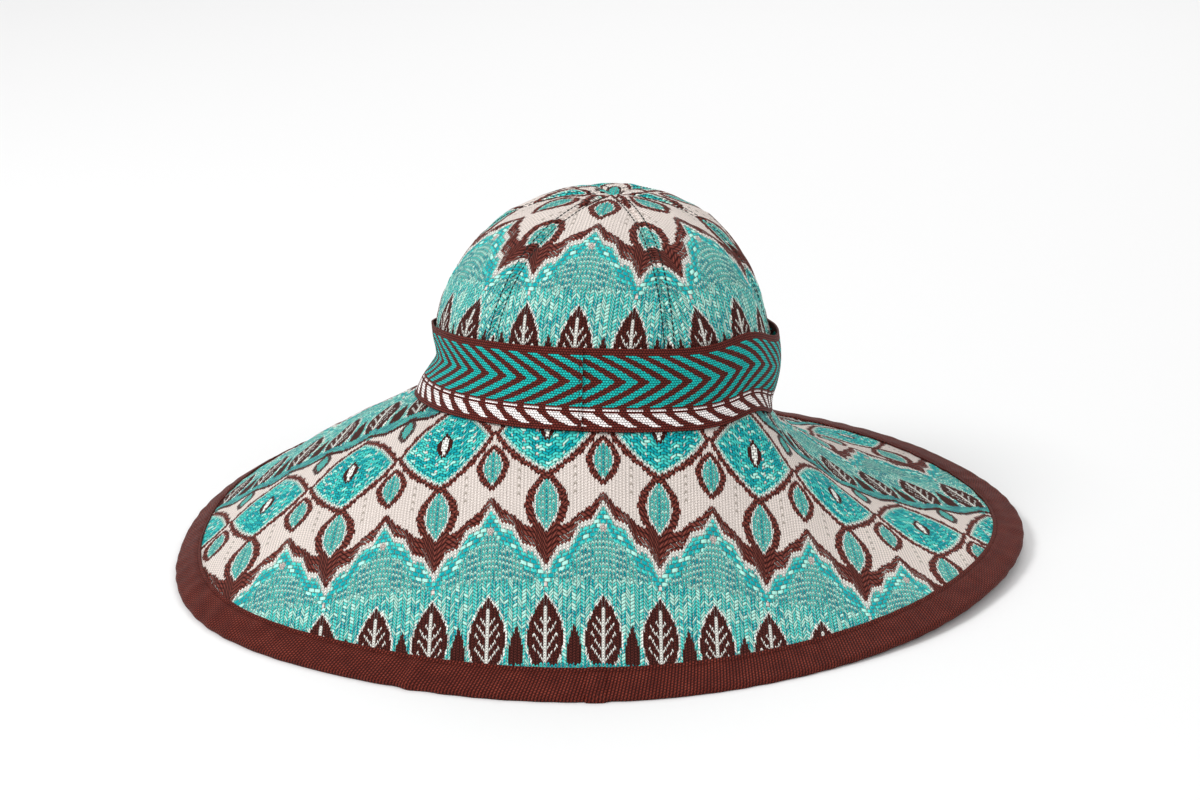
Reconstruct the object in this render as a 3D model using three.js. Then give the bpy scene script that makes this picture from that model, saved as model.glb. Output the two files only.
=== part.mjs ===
// A wide-brimmed knitted sun hat: a round crown sewn from six gores, a drooping brim,
// a woven ribbon round the crown and a ribbon folded over the brim's edge.
// Millimetres, +Z up. The hat stands on its rim. The origin is on the surface under it,
// in the middle of its width and depth, and -Y is the side with the ribbon joins.
import * as THREE from 'three';

// Driving sizes
const crownWidth = 186;
const crownDepth = 196;
const crownRise = 105;
const crownLean = 5;
const crownLeanBack = 4;
const goreCount = 6;
const firstSeamTurn = 21;
const seamDip = 1.4;
const footHeight = 88;
const hatWidth = 452;
const hatDepth = 460;
const knitWall = 2.4;
const ribbonWall = 1.0;
const bandWidth = 44;
const bandFlare = 10;
const bindingWidth = 15;
const restFlat = 0.6;
const seamGap = 0.3;
const seatGap = 0.3;
const bandGap = 0.5;

// How finely the curved pieces are faceted
const turnSteps = 60;
const brimSteps = 5;
const goreTurnSteps = turnSteps / goreCount;
const goreRiseSteps = 11;
const bindingSteps = 2;
const foldSteps = 4;
const bandSteps = 5;

// The crown in eight sections. full is how square its shoulder is, where 2 is an ellipse.
// waist is how far the cloth is drawn in by the band, as a share of the crown's radius, and
// waistUp is the height of that waist above the foot, as a share of crownRise.
const crownTable = [
  { turn: 0, full: 2.45, waist: 0.0, waistUp: 0.1 },
  { turn: 45, full: 2.38, waist: 0.02, waistUp: 0.0 },
  { turn: 90, full: 2.3, waist: 0.06, waistUp: 0.0 },
  { turn: 135, full: 2.38, waist: 0.02, waistUp: 0.0 },
  { turn: 180, full: 2.45, waist: 0.0, waistUp: 0.1 },
  { turn: 225, full: 2.45, waist: 0.02, waistUp: 0.16 },
  { turn: 270, full: 2.45, waist: 0.06, waistUp: 0.16 },
  { turn: 315, full: 2.45, waist: 0.02, waistUp: 0.16 },
];
const waistSpread = 0.13;

// How close to a seam the cloth's dip keeps: more is closer.
const seamSharpness = 4;

// How the rows of facets crowd towards the foot of the crown: 1 is an even turn for each.
const rowCrowding = 1.35;

// The brim in twelve sections, one each 30 degrees from the front towards the right.
// foot and lift are heights where the brim leaves the crown and at the rim, as shares of
// footHeight. reach is the rim's distance from the middle as a share of the plain oval.
// leave and land are how steeply the brim falls at the crown and at the rim, in degrees.
const brimTable = [
  { turn: 0, foot: 1.19, lift: 0.0, reach: 0.925, leave: 42, land: 34 },
  { turn: 30, foot: 1.13, lift: 0.0, reach: 0.905, leave: 44, land: 30 },
  { turn: 60, foot: 1.0, lift: 0.04, reach: 0.95, leave: 52, land: 22 },
  { turn: 90, foot: 0.88, lift: 0.06, reach: 1.01, leave: 60, land: 12 },
  { turn: 120, foot: 0.84, lift: 0.04, reach: 0.99, leave: 58, land: 10 },
  { turn: 150, foot: 0.81, lift: 0.0, reach: 0.99, leave: 52, land: 14 },
  { turn: 180, foot: 0.8, lift: 0.0, reach: 1.0, leave: 42, land: 24 },
  { turn: 210, foot: 0.82, lift: 0.0, reach: 1.0, leave: 34, land: 32 },
  { turn: 240, foot: 0.9, lift: 0.0, reach: 0.99, leave: 27, land: 34 },
  { turn: 270, foot: 1.0, lift: 0.0, reach: 1.005, leave: 26, land: 36 },
  { turn: 300, foot: 1.1, lift: 0.0, reach: 1.04, leave: 32, land: 36 },
  { turn: 330, foot: 1.17, lift: 0.0, reach: 0.965, leave: 38, land: 36 },
];

// Narrow folds of the brim: crest is how far each lifts the brim at the crown, as a share
// of footHeight, and spread is the turn in degrees over which it dies away.
const foldTable = [
  { turn: 54, spread: 15, crest: 0.08 },
];

// How far the band stands off the crown, as shares of bandWidth: at its top edge, at the
// crease half-way down and at the knee where it turns out over the brim.
const bandTable = [
  { turn: 0, flare: 1.0, top: 0.0, crease: 0.0, knee: 0.04 },
  { turn: 45, flare: 0.8, top: 0.01, crease: 0.01, knee: 0.04 },
  { turn: 90, flare: 0.3, top: 0.05, crease: 0.02, knee: 0.01 },
  { turn: 135, flare: 0.6, top: 0.03, crease: 0.02, knee: 0.02 },
  { turn: 180, flare: 1.0, top: 0.01, crease: 0.01, knee: 0.04 },
  { turn: 225, flare: 1.0, top: 0.02, crease: 0.0, knee: 0.04 },
  { turn: 270, flare: 0.9, top: 0.01, crease: 0.0, knee: 0.1 },
  { turn: 315, flare: 1.0, top: 0.0, crease: 0.0, knee: 0.05 },
];

// Where the band's crease and knee lie, as shares of its upright height.
const creaseShare = 0.5;
const kneeShare = 0.12;

const radians = THREE.MathUtils.degToRad;

// A smooth closed curve through one column of a table whose rows are evenly turned.
function around(table, column, turn) {
  const step = 360 / table.length;
  const place = (((turn % 360) + 360) % 360) / step;
  const row = Math.floor(place);
  const part = place - row;
  const value = (offset) => table[(row + offset + table.length) % table.length][column];
  const [a, b, c, d] = [value(-1), value(0), value(1), value(2)];
  return b + 0.5 * part * (c - a + part * (2 * a - 5 * b + 4 * c - d + part * (3 * (b - c) + d - a)));
}

// What the narrow folds add to a column at a turn.
function folds(column, turn) {
  return foldTable.reduce((sum, fold) => {
    const away = (((turn - fold.turn + 540) % 360) - 180) / fold.spread;
    return sum + fold[column] * Math.exp(-away * away);
  }, 0);
}

// The distance from the middle to a plain oval at a turn.
function oval(width, depth, turn) {
  const angle = radians(turn);
  return 1 / Math.hypot(Math.sin(angle) / (width / 2), Math.cos(angle) / (depth / 2));
}

// How far the waist draws the crown in at a height above its foot.
function drawnIn(turn, height) {
  const away = (height / crownRise - around(crownTable, 'waistUp', turn)) / waistSpread;
  return oval(crownWidth, crownDepth, turn) * around(crownTable, 'waist', turn) * Math.exp(-away * away);
}

function footRadius(turn) {
  return oval(crownWidth, crownDepth, turn) - drawnIn(turn, 0);
}

function footLevel(turn) {
  return footHeight * (around(brimTable, 'foot', turn) + folds('crest', turn));
}

// A point of the vertical section at a turn, out from the middle and up.
function place(turn, out, up) {
  const angle = radians(turn);
  return new THREE.Vector3(out * Math.sin(angle), -out * Math.cos(angle), up);
}

// The fall of the brim's upper face in the section at a turn, from the crown to the rim.
function brimFall(turn) {
  const out = footRadius(turn);
  const up = footLevel(turn);
  const rimOut = oval(hatWidth, hatDepth, turn) * around(brimTable, 'reach', turn) - 2 * ribbonWall;
  const rimUp = footHeight * around(brimTable, 'lift', turn) + knitWall + ribbonWall - restFlat;
  const leave = radians(around(brimTable, 'leave', turn));
  const land = radians(around(brimTable, 'land', turn));
  const pull = Math.hypot(rimOut - out, rimUp - up) / 3;
  return new THREE.CubicBezierCurve(
    new THREE.Vector2(out, up),
    new THREE.Vector2(out + pull * Math.cos(leave), up - pull * Math.sin(leave)),
    new THREE.Vector2(rimOut - pull * Math.cos(land), rimUp + pull * Math.sin(land)),
    new THREE.Vector2(rimOut, rimUp),
  );
}

// A point of a section's curve moved off it: positive is above the cloth.
function offset(curve, share, distance) {
  const point = curve.getPointAt(share);
  const along = curve.getTangentAt(share);
  return new THREE.Vector2(point.x - along.y * distance, point.y + along.x * distance);
}

// A closed body from flat sections round the hat, each a closed loop of out-and-up points.
function ringFromSections(sectionAt) {
  const points = [];
  const faces = [];
  let count = 0;
  for (let step = 0; step < turnSteps; step += 1) {
    const turn = firstSeamTurn + (360 * step) / turnSteps;
    const section = sectionAt(turn);
    count = section.length;
    for (const corner of section) points.push(place(turn, corner.x, Math.max(0, corner.y)));
  }
  for (let step = 0; step < turnSteps; step += 1) {
    const next = (step + 1) % turnSteps;
    for (let corner = 0; corner < count; corner += 1) {
      const after = (corner + 1) % count;
      const [a, b] = [step * count + corner, next * count + corner];
      const [c, d] = [next * count + after, step * count + after];
      faces.push(a, c, b, a, d, c);
    }
  }
  return bodyFrom(points, faces);
}

function bodyFrom(points, faces) {
  const geometry = new THREE.BufferGeometry();
  geometry.setAttribute('position', new THREE.Float32BufferAttribute(points.flatMap((p) => p.toArray()), 3));
  geometry.setIndex(faces);
  geometry.computeVertexNormals();
  return geometry;
}

// Crown

const seamTurns = Array.from({ length: goreCount }, (_, gore) => firstSeamTurn + (360 * gore) / goreCount);
const rowRises = Array.from({ length: goreRiseSteps }, (_, row) => (row / goreRiseSteps) ** rowCrowding);

// A section of the crown's outer face: rise 0 is the foot and 1 the apex.
function crownCurve(turn, rise) {
  const angle = (rise * Math.PI) / 2;
  const power = 2 / around(crownTable, 'full', turn);
  const height = (crownRise + footHeight - footLevel(turn)) * Math.sin(angle) ** power;
  const plain = oval(crownWidth, crownDepth, turn) * Math.max(0, Math.cos(angle)) ** power;
  return { out: plain - drawnIn(turn, height), height, lean: Math.sin(angle) ** 2 };
}

// How far out the crown's facets are at a height: they run straight from row to row.
function facetOut(turn, height) {
  const angle = radians(turn);
  const rows = rowRises.map((rise) => crownCurve(turn, rise));
  const outward = crownLean * Math.sin(angle) - crownLeanBack * Math.cos(angle);
  const leaned = (row) => row.out + row.lean * outward;
  const above = rows.findIndex((row) => row.height > height);
  const [low, high] = [rows[above - 1], rows[above]];
  return THREE.MathUtils.mapLinear(height, low.height, high.height, leaned(low), leaned(high));
}

// How far the cloth dips towards the nearest seam.
function dip(turn, rise) {
  const half = 180 / goreCount;
  const fromSeam = Math.min(...seamTurns.map((seam) => Math.abs(((turn - seam + 540) % 360) - 180))) / half;
  return seamDip * Math.cos((fromSeam * Math.PI) / 2) ** seamSharpness * Math.cos((rise * Math.PI) / 2);
}

function crownPoint(turn, rise, inward, sideways) {
  const { out, height, lean } = crownCurve(turn, rise);
  const reach = crownRise + footHeight - footLevel(turn);
  const lift = height * (1 - (seatGap + inward) / reach);
  const point = place(turn, Math.max(0, out - dip(turn, rise) - inward), footLevel(turn) + seatGap + lift);
  point.x += crownLean * lean + sideways.x;
  point.y += crownLeanBack * lean + sideways.y;
  return point;
}

// One gore between two seams, with half the seam's gap on each side of it.
function goreBody(fromTurn) {
  const width = 360 / goreCount;
  const apart = seamGap / 2 / Math.sin(radians(width / 2));
  const sideways = place(fromTurn + width / 2, apart, 0);
  const points = [];
  const across = goreTurnSteps + 1;
  for (const inward of [0, knitWall]) {
    for (const rise of rowRises) {
      for (let step = 0; step < across; step += 1) {
        const turn = fromTurn + (width * step) / goreTurnSteps;
        points.push(crownPoint(turn, rise, inward, sideways));
      }
    }
    points.push(crownPoint(fromTurn + width / 2, 1, inward, sideways));
  }
  const layer = goreRiseSteps * across + 1;
  const faces = [];
  const quad = (a, b, c, d) => faces.push(a, b, c, a, c, d);
  const outer = (rise, step) => rise * across + step;
  const inner = (rise, step) => layer + outer(rise, step);
  for (let rise = 0; rise < goreRiseSteps - 1; rise += 1) {
    for (let step = 0; step < goreTurnSteps; step += 1) {
      quad(outer(rise, step), outer(rise, step + 1), outer(rise + 1, step + 1), outer(rise + 1, step));
      quad(inner(rise, step), inner(rise + 1, step), inner(rise + 1, step + 1), inner(rise, step + 1));
    }
    const far = goreTurnSteps;
    quad(outer(rise, 0), outer(rise + 1, 0), inner(rise + 1, 0), inner(rise, 0));
    quad(outer(rise, far), inner(rise, far), inner(rise + 1, far), outer(rise + 1, far));
  }
  const last = goreRiseSteps - 1;
  const [tip, underTip] = [layer - 1, 2 * layer - 1];
  for (let step = 0; step < goreTurnSteps; step += 1) {
    faces.push(outer(last, step), outer(last, step + 1), tip);
    faces.push(inner(last, step + 1), inner(last, step), underTip);
    quad(outer(0, step + 1), outer(0, step), inner(0, step), inner(0, step + 1));
  }
  quad(outer(last, 0), tip, underTip, inner(last, 0));
  quad(outer(last, goreTurnSteps), inner(last, goreTurnSteps), underTip, tip);
  return bodyFrom(points, faces);
}

// Brim

// The shares of the brim's fall that the binding covers, from its inner edge to the rim.
function boundShares(length) {
  const covered = bindingWidth / length;
  return Array.from({ length: bindingSteps + 1 }, (_, step) => 1 - covered * (1 - step / bindingSteps));
}

// How far down the brim the band's lower edge lies.
function flareLength(turn) {
  return bandFlare * around(bandTable, 'flare', turn);
}

function brimSection(turn) {
  const fall = brimFall(turn);
  const start = fall.getPointAt(0);
  const bound = boundShares(fall.getLength());
  const hem = flareLength(turn) / fall.getLength();
  const open = Array.from({ length: brimSteps }, (_, step) => hem + ((bound[0] - hem) * step) / brimSteps);
  const upper = [];
  const lower = [];
  for (const share of [0, ...open, ...bound]) {
    upper.push(offset(fall, share, 0));
    lower.unshift(offset(fall, share, -knitWall));
  }
  const shelf = new THREE.Vector2(start.x - knitWall, start.y);
  const underShelf = new THREE.Vector2(start.x - knitWall, start.y - knitWall);
  return [shelf, ...upper, ...lower, underShelf];
}

// Ribbons

// The ribbon folded over the rim: an outer loop round the cloth's edge and an inner one.
function bindingSection(turn) {
  const fall = brimFall(turn);
  const bound = boundShares(fall.getLength());
  const edge = fall.getPointAt(1);
  const along = fall.getTangentAt(1);
  const loop = (clear) => {
    const above = [];
    const below = [];
    for (const share of bound) {
      above.push(offset(fall, share, clear));
      below.unshift(offset(fall, share, -knitWall - clear));
    }
    const middle = new THREE.Vector2(edge.x + along.y * knitWall / 2, edge.y - along.x * knitWall / 2);
    const radius = knitWall / 2 + clear;
    const fold = [];
    for (let step = 1; step < foldSteps; step += 1) {
      const angle = Math.PI / 2 - (Math.PI * step) / foldSteps;
      const [ahead, beside] = [radius * Math.cos(angle), radius * Math.sin(angle)];
      fold.push(new THREE.Vector2(
        middle.x + along.x * ahead - along.y * beside,
        middle.y + along.y * ahead + along.x * beside,
      ));
    }
    return [...above, ...fold, ...below];
  };
  return [...loop(seatGap + ribbonWall), ...loop(seatGap).reverse()];
}

// How far the band stands off the crown at a share of its upright height.
function standOff(turn, share) {
  const [top, crease, knee] = ['top', 'crease', 'knee'].map((column) => around(bandTable, column, turn));
  const off = share > creaseShare
    ? THREE.MathUtils.mapLinear(share, creaseShare, 1, crease, top)
    : THREE.MathUtils.mapLinear(share, kneeShare, creaseShare, knee, crease);
  return bandGap + seamGap + bandWidth * Math.max(0, off);
}

// The band's face towards the crown, from its top edge down to its edge on the brim.
function bandLine(turn) {
  const flare = flareLength(turn);
  const fall = brimFall(turn);
  const points = [];
  for (let step = 0; step <= bandSteps; step += 1) {
    const share = THREE.MathUtils.lerp(1, kneeShare, step / bandSteps);
    const height = share * (bandWidth - flare);
    points.push(new THREE.Vector2(facetOut(turn, height) + standOff(turn, share), footLevel(turn) + height));
  }
  points.push(offset(fall, flare / fall.getLength(), seatGap));
  return new THREE.SplineCurve(points);
}

function bandSection(turn) {
  const line = bandLine(turn);
  const inner = [];
  const outer = [];
  const steps = bandSteps + 1;
  for (let step = 0; step <= steps; step += 1) {
    outer.push(offset(line, step / steps, ribbonWall));
    inner.unshift(offset(line, step / steps, 0));
  }
  return [...outer, ...inner];
}

// Assembly

const knit = new THREE.MeshStandardMaterial({ color: 0x58c8bc, roughness: 0.9, metalness: 0 });
const chevronRibbon = new THREE.MeshStandardMaterial({ color: 0x2a8f8a, roughness: 0.7, metalness: 0 });
const brownRibbon = new THREE.MeshStandardMaterial({ color: 0x5a2a22, roughness: 0.75, metalness: 0 });

function named(name, geometry, material) {
  const mesh = new THREE.Mesh(geometry, material);
  mesh.name = name;
  return mesh;
}

const hat = new THREE.Group();
seamTurns.forEach((turn, gore) => hat.add(named(`crown_gore_${gore + 1}`, goreBody(turn), knit)));
hat.add(named('brim', ringFromSections(brimSection), knit));
hat.add(named('brim_binding', ringFromSections(bindingSection), brownRibbon));
hat.add(named('hat_band', ringFromSections(bandSection), chevronRibbon));

// The origin goes under the middle of the hat's width and depth.
const extent = new THREE.Box3().setFromObject(hat);
hat.position.set(-(extent.min.x + extent.max.x) / 2, -(extent.min.y + extent.max.y) / 2, 0);

export default hat;
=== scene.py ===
# %% [markdown]
# # A wide-brimmed knitted sun hat
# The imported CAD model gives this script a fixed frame: nine plain solids with the hat's real sizes,
# in metres, with +Z up and the hat standing on its rim. Each cell below turns one of them into what
# it is on the real hat, a knitted cloth or a woven ribbon, without moving anything.

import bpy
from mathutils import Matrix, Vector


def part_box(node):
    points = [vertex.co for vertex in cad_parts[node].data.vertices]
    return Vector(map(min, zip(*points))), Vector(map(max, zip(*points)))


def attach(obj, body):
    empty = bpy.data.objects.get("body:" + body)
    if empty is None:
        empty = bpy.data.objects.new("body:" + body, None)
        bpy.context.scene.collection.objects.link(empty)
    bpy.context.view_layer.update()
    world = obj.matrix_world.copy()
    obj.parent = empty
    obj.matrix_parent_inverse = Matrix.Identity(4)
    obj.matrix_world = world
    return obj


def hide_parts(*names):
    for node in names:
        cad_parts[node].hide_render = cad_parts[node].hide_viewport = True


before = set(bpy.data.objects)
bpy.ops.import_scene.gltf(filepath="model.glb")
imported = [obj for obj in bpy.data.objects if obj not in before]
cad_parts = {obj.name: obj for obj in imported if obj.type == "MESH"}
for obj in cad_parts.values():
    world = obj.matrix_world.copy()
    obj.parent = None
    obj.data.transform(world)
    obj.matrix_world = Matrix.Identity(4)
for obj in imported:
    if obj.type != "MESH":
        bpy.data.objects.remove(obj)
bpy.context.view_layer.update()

# %% [markdown]
# ## Camera, floor and light
# The picture is a product shot from a little above the rim, so a long lens stands well back and looks
# down by 19 degrees. The floor is pale and the light comes from large soft panels, because small
# lamps would throw hard shadows from the stitches and hide the colours of the yarn.

# %% The camera
import math

import bmesh
import bpy
import numpy as np
from mathutils import Vector

MM = 0.001
LENS = 85.0
VIEW_DISTANCE = 1520 * MM
VIEW_ELEVATION = math.radians(19)
VIEW_AIM = Vector((-2.0, -8.6, 79.0)) * MM


def add_camera():
    """A camera in front of the hat that looks at the middle of the crown's band."""
    data = bpy.data.cameras.new("camera")
    data.lens = LENS
    data.sensor_width = 36.0
    data.clip_end = 100.0
    camera = bpy.data.objects.new("camera", data)
    back = Vector((0, -math.cos(VIEW_ELEVATION), math.sin(VIEW_ELEVATION)))
    camera.location = VIEW_AIM + back * VIEW_DISTANCE
    camera.rotation_euler = (-back).to_track_quat("-Z", "Y").to_euler()
    bpy.context.scene.collection.objects.link(camera)
    bpy.context.scene.camera = camera
    return camera


print("camera at", [round(value, 3) for value in add_camera().location])


# %% The floor, the sky and the soft lights
FLOOR_REACH = 30.0
SKY_STRENGTH = 0.66
# Where each panel hangs and how wide it is, in metres, and its power in watts
PANELS = {
    "key panel": ((-1.6, -0.9, 1.9), 0.8, 36),
    "fill panel": ((1.6, -1.2, 1.3), 1.2, 6),
    "back panel": ((0.4, 1.7, 1.7), 1.4, 12),
}


def add_floor():
    """A wide pale floor, which isn't part of the hat."""
    mesh = bpy.data.meshes.new("floor")
    far = FLOOR_REACH
    corners = [(-far, -far, 0), (far, -far, 0), (far, far, 0), (-far, far, 0)]
    mesh.from_pydata(corners, [], [(0, 1, 2, 3)])
    floor = bpy.data.objects.new("floor", mesh)
    bpy.context.scene.collection.objects.link(floor)
    paper = bpy.data.materials.new("pale paper")
    paper.use_nodes = True
    shader = paper.node_tree.nodes["Principled BSDF"]
    shader.inputs["Base Color"].default_value = (0.86, 0.86, 0.86, 1)
    shader.inputs["Roughness"].default_value = 0.9
    mesh.materials.append(paper)
    return floor


def add_panel(name, place, size, power):
    """A square lamp that faces the hat."""
    data = bpy.data.lights.new(name, "AREA")
    data.shape = "SQUARE"
    data.size = size
    data.energy = power
    lamp = bpy.data.objects.new(name, data)
    lamp.location = place
    lamp.rotation_euler = (VIEW_AIM - Vector(place)).to_track_quat("-Z", "Y").to_euler()
    bpy.context.scene.collection.objects.link(lamp)
    return lamp


def add_sky():
    """Sets an even white sky that fills the shadows, and shows colours as they are."""
    bpy.context.scene.view_settings.view_transform = "Standard"
    world = bpy.data.worlds.new("studio")
    world.use_nodes = True
    bpy.context.scene.world = world
    background = world.node_tree.nodes["Background"]
    background.inputs["Color"].default_value = (1, 1, 1, 1)
    background.inputs["Strength"].default_value = SKY_STRENGTH


add_floor()
add_sky()
for name, (place, size, power) in PANELS.items():
    add_panel(name, place, size, power)

# %% [markdown]
# ## The hat's shape as a few numbers
# A cloth hat is drawn like a ship's hull: by its sections. Every vertical section through the middle
# is one short curve, and small tables say how that curve changes as the section turns from the
# front (0 degrees) towards the right (90 degrees) and round the back. Between the rows of a table the
# numbers flow smoothly. The values are the ones that the CAD solids were built from, so each
# piece lands exactly where its solid is.

# %% Driving sizes
CROWN_WIDTH = 186 * MM
CROWN_DEPTH = 196 * MM
CROWN_RISE = 105 * MM
CROWN_LEAN = 5 * MM
CROWN_LEAN_BACK = 4 * MM
GORES = 6
FIRST_SEAM = 21.0
SEAM_DIP = 1.4 * MM
SEAM_SHARPNESS = 4
FOOT_HEIGHT = 88 * MM
HAT_WIDTH = 452 * MM
HAT_DEPTH = 460 * MM
KNIT_WALL = 2.4 * MM
RIBBON_WALL = 1.0 * MM
BAND_WIDTH = 44 * MM
BAND_FLARE = 10 * MM
BINDING_WIDTH = 15 * MM
REST_FLAT = 0.6 * MM
GAP = 0.3 * MM
BAND_GAP = 0.5 * MM
CREASE_SHARE = 0.5
KNEE_SHARE = 0.12
WAIST_SPREAD = 0.13

# Rows of the tables, evenly turned from the front towards the right.
BRIM = {
    "foot": [1.19, 1.13, 1.0, 0.88, 0.84, 0.81, 0.8, 0.82, 0.9, 1.0, 1.1, 1.17],
    "lift": [0.0, 0.0, 0.04, 0.06, 0.04, 0.0, 0.0, 0.0, 0.0, 0.0, 0.0, 0.0],
    "reach": [0.925, 0.905, 0.95, 1.01, 0.99, 0.99, 1.0, 1.0, 0.99, 1.005, 1.04, 0.965],
    "leave": [42, 44, 52, 60, 58, 52, 42, 34, 27, 26, 32, 38],
    "land": [34, 30, 22, 12, 10, 14, 24, 32, 34, 36, 36, 36],
}
CROWN = {
    "full": [2.45, 2.38, 2.3, 2.38, 2.45, 2.45, 2.45, 2.45],
    "waist": [0.0, 0.02, 0.06, 0.02, 0.0, 0.02, 0.06, 0.02],
    "waist_up": [0.1, 0.0, 0.0, 0.0, 0.1, 0.16, 0.16, 0.16],
}
BAND = {
    "flare": [1.0, 0.8, 0.3, 0.6, 1.0, 1.0, 0.9, 1.0],
    "top": [0.0, 0.01, 0.05, 0.03, 0.01, 0.02, 0.01, 0.0],
    "crease": [0.0, 0.01, 0.02, 0.02, 0.01, 0.0, 0.0, 0.0],
    "knee": [0.04, 0.04, 0.01, 0.02, 0.04, 0.04, 0.1, 0.05],
}
RIDGE = {"turn": 54, "spread": 15, "crest": 0.08}
print("sections:", {"brim": len(BRIM["foot"]), "crown": len(CROWN["full"]), "band": len(BAND["top"])})

# %% [markdown]
# To use a table, its rows are joined by a smooth curve that closes on itself, so that the back meets
# the front without a corner. From those curves come the oval of the crown, the height at which the
# brim leaves it, and the brim's own section, which bends like a wire held at both ends.

# %% Reading the tables
def around(column, turn):
    """A smooth closed curve through one column, at any turns in degrees."""
    rows = np.asarray(column, float)
    place = np.mod(turn, 360.0) / (360.0 / len(rows))
    row = np.floor(place).astype(int)
    part = place - row
    a, b, c, d = (rows[(row + step) % len(rows)] for step in (-1, 0, 1, 2))
    return b + 0.5 * part * (c - a + part * (2 * a - 5 * b + 4 * c - d + part * (3 * (b - c) + d - a)))


def oval(width, depth, turn):
    """How far a plain oval is from the middle."""
    angle = np.radians(turn)
    return 1 / np.hypot(np.sin(angle) / (width / 2), np.cos(angle) / (depth / 2))


def turned_away(turn, middle):
    """How far a turn is from another, in degrees, from -180 to 180."""
    return np.mod(turn - middle + 180, 360) - 180


def foot_level(turn):
    """The height at which the brim leaves the crown."""
    away = turned_away(turn, RIDGE["turn"]) / RIDGE["spread"]
    return FOOT_HEIGHT * (around(BRIM["foot"], turn) + RIDGE["crest"] * np.exp(-away * away))


def drawn_in(turn, height):
    """How far the band draws the crown in, at a height above its foot."""
    away = (height / CROWN_RISE - around(CROWN["waist_up"], turn)) / WAIST_SPREAD
    return oval(CROWN_WIDTH, CROWN_DEPTH, turn) * around(CROWN["waist"], turn) * np.exp(-away * away)


def foot_radius(turn):
    return oval(CROWN_WIDTH, CROWN_DEPTH, turn) - drawn_in(turn, 0.0)


quarter = np.arange(0, 360, 90)
print("foot radius in mm at front, right, back and left:", np.round(foot_radius(quarter) / MM, 1))


# %% Sections of the brim
CURVE_SAMPLES = 241


def along_line(points, shares):
    """Points at shares of the length of each line. points is (turns, samples, 2)."""
    steps = np.linalg.norm(np.diff(points, axis=1), axis=2)
    run = np.concatenate([np.zeros((len(points), 1)), np.cumsum(steps, axis=1)], axis=1)
    found = np.empty((len(points), shares.shape[1], 2))
    for index, line in enumerate(points):
        for axis in (0, 1):
            found[index, :, axis] = np.interp(shares[index] * run[index, -1], run[index], line[:, axis])
    return found, run[:, -1]


def brim_lines(turn):
    """The brim's upper face in each section, as finely sampled curves with two handles."""
    start = np.stack([foot_radius(turn), foot_level(turn)], axis=-1)
    rim_out = oval(HAT_WIDTH, HAT_DEPTH, turn) * around(BRIM["reach"], turn) - 2 * RIBBON_WALL
    rim_up = FOOT_HEIGHT * around(BRIM["lift"], turn) + KNIT_WALL + RIBBON_WALL - REST_FLAT
    end = np.stack([rim_out, rim_up], axis=-1)
    pull = (np.linalg.norm(end - start, axis=-1) / 3)[:, None]
    leave = np.radians(around(BRIM["leave"], turn))
    land = np.radians(around(BRIM["land"], turn))
    away = start + pull * np.stack([np.cos(leave), -np.sin(leave)], axis=-1)
    back = end - pull * np.stack([np.cos(land), -np.sin(land)], axis=-1)
    t = np.linspace(0, 1, CURVE_SAMPLES)[None, :, None]
    four = [point[:, None, :] for point in (start, away, back, end)]
    weights = [(1 - t) ** 3, 3 * t * (1 - t) ** 2, 3 * t * t * (1 - t), t ** 3]
    return sum(weight * point for weight, point in zip(weights, four))


def sideways(points):
    """The upward unit normal along each line of a section."""
    along = np.gradient(points, axis=1)
    along /= np.linalg.norm(along, axis=2, keepdims=True)
    return np.stack([-along[..., 1], along[..., 0]], axis=-1)


def stand(turn, flat):
    """Section points, out and up, stood up in space at their turns."""
    angle = np.radians(turn).reshape(-1, *([1] * (flat.ndim - 2)))
    spots = [flat[..., 0] * np.sin(angle), -flat[..., 0] * np.cos(angle), flat[..., 1]]
    return np.stack(spots, axis=-1) + MIDDLE


MIDDLE = np.zeros(3)
rim_turns = np.arange(0, 360, 1.0)
rim_line = brim_lines(rim_turns)[:, -1:, :]
rim_line[..., 0] += KNIT_WALL / 2 + GAP + RIBBON_WALL
rim_spots = stand(rim_turns, rim_line)[:, 0]
MIDDLE = -(rim_spots.min(axis=0) + rim_spots.max(axis=0)) / 2 * [1, 1, 0]
print("the hat's middle is moved by", np.round(MIDDLE / MM, 2), "mm, as in the CAD model")

# %% [markdown]
# ## One way to make every cloth
# Every piece of this hat is a sheet with a thickness: a grid of points for its face, another for its
# back, and walls that close the edges. Making it as one closed mesh, and not as a thin sheet, means
# that it looks right from below and through the gaps. Each corner also gets the place on the flat
# cloth that it was cut from. That is the UV map, and the patterns follow it, so a motif bends with
# the cloth as a knitted one does.


# %% A closed cloth from two grids
SHARP_ANGLE = math.radians(50)
SAME_PLACE = 0.001 * MM


def grid_faces(numbers):
    """Four-cornered faces between neighbouring points of a grid of point numbers."""
    corners = [numbers[:-1, :-1], numbers[:-1, 1:], numbers[1:, 1:], numbers[1:, :-1]]
    return np.stack(corners, axis=-1).reshape(-1, 4)


def edge_walls(numbers, joined):
    """Faces that join the border of the face grid to the border of the back grid."""
    loops = [(numbers[0], False), (numbers[-1], True)]
    if not joined:
        loops += [(numbers[:, 0], True), (numbers[:, -1], False)]
    walls = []
    for loop, turned in loops:
        before, after = loop[:-1], loop[1:]
        wall = np.stack([before, before + numbers.size, after + numbers.size, after], axis=-1)
        walls.append(wall[:, ::-1] if turned else wall)
    return np.concatenate(walls)


def grid_normals(points):
    """Unit normals of a grid of points, from its own rows and columns."""
    normals = np.cross(np.gradient(points, axis=1), np.gradient(points, axis=0))
    return normals / np.maximum(np.linalg.norm(normals, axis=-1, keepdims=True), 1e-12)


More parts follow.
